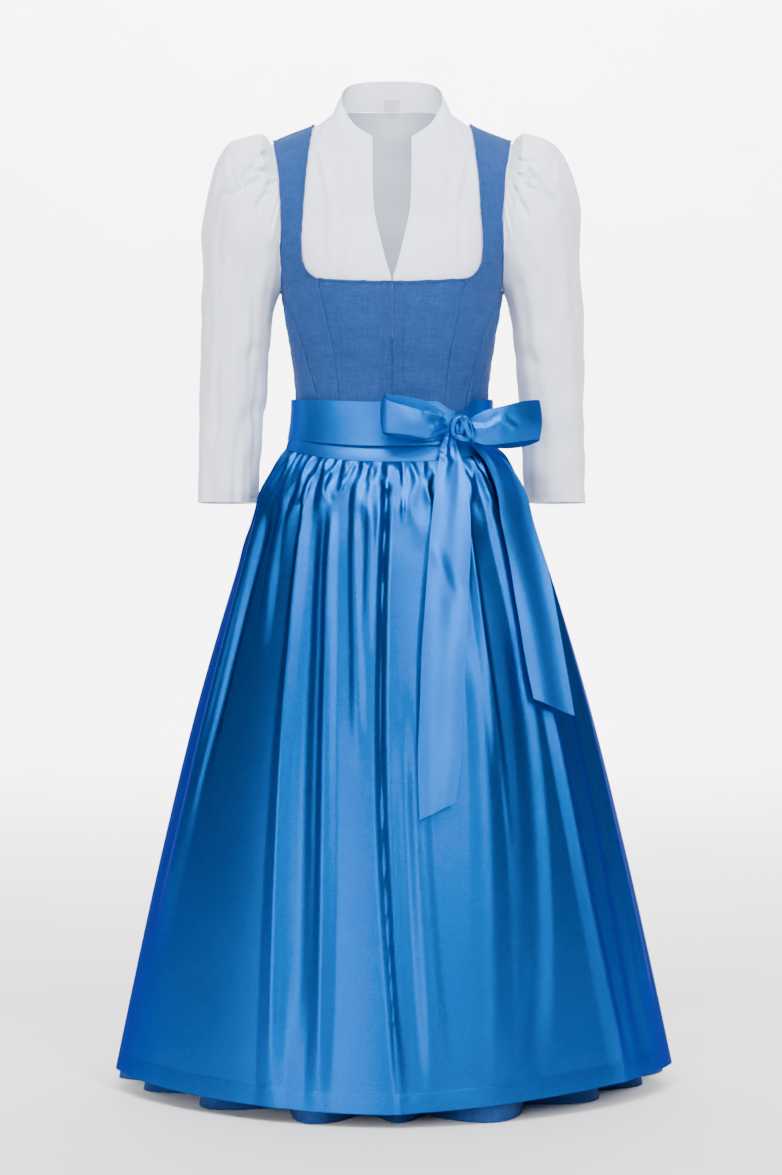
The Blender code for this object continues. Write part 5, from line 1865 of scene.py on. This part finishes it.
KNOT_STRANDS = (
    Strand(0.0040, 0.0030, through(
        (-0.0040, -0.0060, -0.0120), (-0.0130, -0.0080, -0.0050), (-0.0120, -0.0100, 0.0070),
        (-0.0050, -0.0110, 0.0130), (0.0010, -0.0120, 0.0060), (-0.0040, -0.0120, -0.0060))),
    Strand(0.0045, 0.0034, through(
        (0.0000, -0.0030, 0.0150), (0.0020, -0.0110, 0.0090), (0.0050, -0.0130, -0.0010),
        (0.0080, -0.0110, -0.0110), (0.0090, -0.0020, -0.0150))),
    Strand(0.0042, 0.0032, through(
        (0.0060, -0.0010, 0.0140), (0.0090, -0.0090, 0.0080), (0.0120, -0.0100, -0.0020),
        (0.0140, -0.0080, -0.0110), (0.0130, 0.0000, -0.0150))),
    Strand(0.0030, 0.0026, through(
        (-0.0020, -0.0090, 0.0140), (0.0040, -0.0125, 0.0110), (0.0110, -0.0110, 0.0060),
        (0.0150, -0.0060, 0.0000))),
    Strand(0.0034, 0.0028, through(
        (-0.0080, -0.0080, -0.0100), (-0.0020, -0.0120, -0.0130), (0.0060, -0.0120, -0.0140),
        (0.0120, -0.0070, -0.0120))),
)
TAIL_CREASES = bent_lines(
    (0.0014, 0.0040, (0.0560, -0.4200), (0.0640, -0.4230), (0.0730, -0.4330)),
    (0.0012, 0.0040, (0.0680, -0.4000), (0.0600, -0.4120)),
    (0.0010, 0.0060, (0.1060, -0.4700), (0.1240, -0.5200)),
    (0.0010, 0.0070, (0.0480, -0.5300), (0.0760, -0.6000)),
)


@dataclass
class Bow(Garment):
    """The bow of the tie's satin: a knot, a loop at each side and two hanging ends."""

    cloth = Slot.SATIN
    stitch_pitch = 0.0022
    thread = 0.00013
    loop_fill: float = 0.003
    loop_stitch: float = 0.0016
    pleat_height: float = 0.0018
    pleat_count: float = 1.8
    tail_width: float = 0.055
    tail_stitch: float = 0.0022
    drawn_height: float = 0.0016
    drawn_reach: float = 0.030
    curl: float = 0.002
    roll_sides: int = 28

    def loop(self, node: str, path: Curve, outward: int, creases: Sequence[Crease]) -> None:
        """Make one loop.

        Args:
            node: The node it stands for.
            path: Its path from the knot round the fold and back: x, y, upper and lower edge.
            outward: 1 where the path runs to the right along the front, or -1.
            creases: Its creases, by x and height.
        """
        x, y, top, bottom = np.moveaxis(path(np.linspace(0, path.at[-1], 168)), -1, 0)
        share = np.linspace(0, 1, 37)[:, None]
        points = np.stack(np.broadcast_arrays(x, y, bottom + (top - bottom) * share), -1)[:, ::outward]
        end = np.minimum(lengths(points, 1), lengths(points[:, ::-1], 1)[:, ::-1])
        pinch = np.exp(-end / 0.016) * (1 - np.exp(-end / 0.004))
        pleats = self.pleat_height * np.cos(2 * math.pi * (self.pleat_count * share + 0.15 + 6 * end)) * pinch
        relief = self.loop_fill * np.sin(share * math.pi) + pleats
        points = raised(points, relief + creased(points[..., ::2], creases) * (1 - np.exp(-end / 0.006)))
        self.note(points, self.loop_stitch, Edge.FOOT, Edge.HEAD)
        self.lay(node, points, Cut(0.200, 0.047, Held.FOLDED), ("bow_knot",))

    def tail(self, node: str, path: Curve, seed: int, length: float) -> None:
        """Make one hanging end.

        Args:
            node: The node it stands for.
            path: Height, slant, angle on the skirt, distance from it, width and the way its far edge lies.
            seed: What its unevenness grows from.
            length: Its cut length.
        """
        rows = path(np.linspace(path.at[-1], 0, 150))[:, None, :]
        height, slant, start, out, width, turn = np.moveaxis(rows, -1, 0)
        phi, turn = np.radians(start), np.radians(turn)
        base = on_skirt(phi, np.maximum(0, waist_seam(phi) - height), 0.0, out)
        way = np.stack([np.cos(turn), np.sin(turn), 0 * turn], -1)
        ahead = np.stack([way[..., 1], -way[..., 0], 0 * turn], -1)
        share = np.linspace(0, 1, 40)[None, :]
        from_knot = height.max() - height
        drawn = np.exp(-from_knot / self.drawn_reach) * self.drawn_height
        curl = self.curl * np.sin(share * math.pi * 2) + drawn * np.cos(share * 15 + from_knot * 60)
        curl = curl + Ripples(seed, 0.0010, 0.09, 1.6).over(share * self.tail_width, height)
        points = base + way * (width * share)[..., None] + ahead * curl[..., None]
        points[..., 2] = height - slant * share
        points = raised(points, creased(points[..., ::2], TAIL_CREASES))
        self.note(points, self.tail_stitch, Edge.NEAR, Edge.FAR, Edge.FOOT)
        self.lay(node, points, Cut(self.tail_width, length, Held.HUNG), ("bow_knot",))

    def knot(self) -> None:
        """Make the knot: a drawn-in core, with rolls of the tie's cloth wrapped over it."""
        steps, rings = 48, 28
        turn = np.arange(steps + 1) * 2 * math.pi / steps
        rise = np.linspace(-0.5, 0.5, rings + 2)[1:-1, None] * math.pi
        level = np.cos(rise)
        unit = np.stack(np.broadcast_arrays(np.cos(turn) * level, np.sin(turn) * level, np.sin(rise)), -1)
        swell = 0.86 + 0.05 * np.cos(3 * turn + 4 * np.sin(rise)) + 0.04 * np.cos(9 * turn + 2 * rise)
        core = signed_power(unit, 0.8) * np.array(KNOT_HALF) * swell[..., None]
        meshes = [skin(core)]
        along = np.linspace(0, 1, 46)
        taper = 0.35 + 0.65 * np.sin(math.pi * along) ** 0.6
        turn, way = np.arange(self.roll_sides + 1) * 2 * math.pi / self.roll_sides, along[:, None]
        crisp = 0.16 * (1 - np.abs(np.sin(2.5 * turn + 2.0 * way)) * 2) + 0.05 * np.cos(7 * turn - 9 * way)
        crisp[:, -1] = crisp[:, 0]
        for strand in KNOT_STRANDS:
            line = strand.path(along * strand.path.at[-1])
            meshes.append(skin(tube(line, strand.wide * taper, strand.thin * taper, self.roll_sides, crisp)))
        ahead, across = math.cos(KNOT_TURN), math.sin(KNOT_TURN)
        upright = np.array([[ahead, across, 0], [-across, ahead, 0], [0, 0, 1]])
        centre = np.array(KNOT_CENTRE)
        parts = [(points @ upright + centre, faces, places) for points, faces, places in meshes]
        made = joined("bow_knot_cloth", parts)
        self.place(made, self.cloth, "bow_knot")

    def build(self) -> None:
        """Make the bow: its loops, its ends and its knot."""
        # The bow gets the satin's lighter blue, which is painted light.
        self.turn_grain_with_painted_light()
        left = through(
            (0.0665, -0.1180, -0.3770, -0.3930), (0.0450, -0.1350, -0.3708, -0.4013),
            (0.0180, -0.1430, -0.3627, -0.3977), (-0.0040, -0.1410, -0.3560, -0.3955),
            (-0.0115, -0.1335, -0.3480, -0.3950), (-0.0050, -0.1270, -0.3480, -0.3985),
            (0.0180, -0.1245, -0.3495, -0.4020), (0.0430, -0.1190, -0.3555, -0.4040),
            (0.0650, -0.1100, -0.3680, -0.4010),
        )
        right = through(
            (0.0980, -0.1080, -0.3750, -0.4020), (0.1150, -0.1090, -0.3660, -0.4080),
            (0.1400, -0.1010, -0.3590, -0.4060), (0.1650, -0.0840, -0.3520, -0.4020),
            (0.1830, -0.0620, -0.3490, -0.3990), (0.1860, -0.0525, -0.3495, -0.4000),
            (0.1800, -0.0475, -0.3510, -0.4030), (0.1600, -0.0600, -0.3570, -0.4090),
            (0.1350, -0.0780, -0.3640, -0.4110), (0.1130, -0.0900, -0.3700, -0.4060),
            (0.0980, -0.0970, -0.3760, -0.3990),
        )
        front = through(
            (-0.3940, 0.000, 23.5, 0.0150, 0.010, 24), (-0.4060, 0.000, 21.5, 0.0140, 0.019, 20),
            (-0.4250, 0.000, 19.0, 0.0125, 0.028, 16), (-0.4620, 0.000, 15.0, 0.0120, 0.041, 12),
            (-0.5170, 0.000, 12.2, 0.0120, 0.050, 10), (-0.5800, 0.000, 10.2, 0.0115, 0.053, 9),
            (-0.6500, 0.000, 8.6, 0.0115, 0.054, 8), (-0.7200, 0.000, 7.6, 0.0110, 0.053, 7),
            (-0.7900, -0.003, 6.8, 0.0110, 0.052, 6), (-0.8600, -0.020, 7.0, 0.0110, 0.044, 6),
        )
        side = through(
            (-0.4030, 0.000, 38.5, 0.0085, 0.022, 50), (-0.4200, 0.000, 43.0, 0.0100, 0.038, 44),
            (-0.4500, 0.002, 45.0, 0.0105, 0.050, 44), (-0.4980, 0.004, 43.0, 0.0110, 0.054, 38),
            (-0.5500, 0.008, 42.6, 0.0120, 0.055, 30), (-0.6040, 0.012, 41.6, 0.0120, 0.055, 22),
            (-0.6690, 0.016, 41.3, 0.0120, 0.055, 20), (-0.7200, 0.022, 41.5, 0.0120, 0.055, 20),
        )
        left_creases = bent_lines(
            (0.0014, 0.0040, (0.0610, -0.3800), (0.0530, -0.3850), (0.0440, -0.3990)),
            (0.0005, 0.0090, (0.0480, -0.3740), (0.0200, -0.3850), (-0.0080, -0.3900)),
            (0.0012, 0.0040, (0.0600, -0.3740), (0.0400, -0.3640)),
        )
        right_creases = bent_lines(
            (0.0018, 0.0036, (0.0954, -0.3849), (0.1090, -0.3886), (0.1177, -0.3880), (0.1264, -0.3819),
             (0.1363, -0.3759), (0.1524, -0.3873)),
            (0.0006, 0.0070, (0.1363, -0.3759), (0.1300, -0.4020)),
            (0.0005, 0.0080, (0.1500, -0.3700), (0.1780, -0.3840)),
        )
        self.loop("bow_loop_right", left, -1, left_creases)
        self.loop("bow_loop_left", right, 1, right_creases)
        self.tail("tie_end_front", front, 10, 0.470)
        self.tail("tie_end_side", side, 8, 0.340)
        self.knot()
        self.sew("bow_stitches")


@dataclass(frozen=True)
class Softbox:
    """An area light: its place, what it is turned to, its size and its power."""

    name: str
    place: tuple[float, float, float]
    towards: tuple[float, float, float]
    size: tuple[float, float]
    watts: float

    def build(self) -> None:
        """Put the light up."""
        data = bpy.data.lights.new(self.name, "AREA")
        data.shape, data.energy = "RECTANGLE", self.watts
        data.size, data.size_y = self.size
        made = put(self.name, data)
        made.location, made.visible_camera = self.place, False
        made.rotation_euler = (Vector(self.towards) - Vector(self.place)).to_track_quat("-Z", "Y").to_euler()


@dataclass(frozen=True)
class Studio:
    """A pale floor that curves up behind, soft lights and the camera."""

    floor: float = SKIRT_HEM - 0.001
    floor_front: float = -9.0
    floor_back: float = 7.5
    bend: float = 2.0
    top: float = 10.0
    half_width: float = 12.0
    daylight: float = 0.20
    camera_place: tuple[float, float, float] = (-0.00128, -3.2, -0.585)
    lens: float = 76.47
    lights: tuple[Softbox, ...] = (
        Softbox("key", (1.6, -2.75, 1.0), (0.0, 0.0, -0.6), (0.50, 2.0), 80),
        Softbox("front", (-1.7, -3.1, -0.25), (0.0, 0.0, -0.40), (2.6, 0.7), 66),
        Softbox("left", (-1.9, -2.5, 1.2), (0.0, 0.0, -0.6), (0.4, 1.8), 2),
        Softbox("top", (0.0, -1.7, 2.3), (0.0, 0.0, -0.4), (2.6, 1.0), 195),
        Softbox("sweep wash", (0.0, 5.0, 5.0), (0.0, 9.5, 0.6), (9.0, 2.0), 3600),
        Softbox("floor wash", (0.0, 1.5, 3.2), (0.0, 1.5, 0.0), (6.0, 3.0), 150),
    )

    def build(self) -> None:
        """Set the studio up."""
        for light in self.lights:
            light.build()
        turns = np.linspace(0, math.pi / 2, 24)[1:]
        profile = [(self.floor_front, 0.0), (self.floor_back, 0.0)]
        profile += [(self.floor_back + self.bend * math.sin(turn), self.bend - self.bend * math.cos(turn))
                    for turn in turns]
        profile += [(self.floor_back + self.bend, self.top)]
        sides = (self.half_width, -self.half_width)
        points = np.array([[(x, y, self.floor + z) for x in sides] for y, z in profile])
        grid = np.arange(points.shape[0] * 2).reshape(-1, 2)
        faces = np.stack([grid[:-1, 1], grid[:-1, 0], grid[1:, 0], grid[1:, 1]], -1)
        sweep = mesh_object("studio_floor", points.reshape(-1, 3), faces)
        sweep.data.materials.append(HardFinish("pale floor", (0.88, 0.88, 0.88), 0.9, 0.0, 3.0).build())
        world = bpy.data.worlds.new("studio")
        world.use_nodes = True
        sky = world.node_tree.nodes["Background"].inputs
        sky["Color"].default_value = (0.93, 0.95, 1.0, 1)
        sky["Strength"].default_value = self.daylight
        bpy.context.scene.world = world
        data = bpy.data.cameras.new("camera")
        data.lens, data.sensor_width = self.lens, 36.0
        camera = put("camera", data)
        camera.location = self.camera_place
        camera.rotation_euler = (math.pi / 2, 0, 0)
        bpy.context.scene.camera = camera


def main() -> None:
    """Build the set, garment by garment, and note its size."""
    logging.basicConfig(level=logging.INFO, format="%(name)s %(message)s")
    finishes = {slot: finish.build() for slot, finish in FINISHES.items()}
    for garment in (Bodice, Blouse, Skirt, Apron, Bow):
        garment(finishes).build()
    Studio().build()


if __name__ == "__main__":
    main()
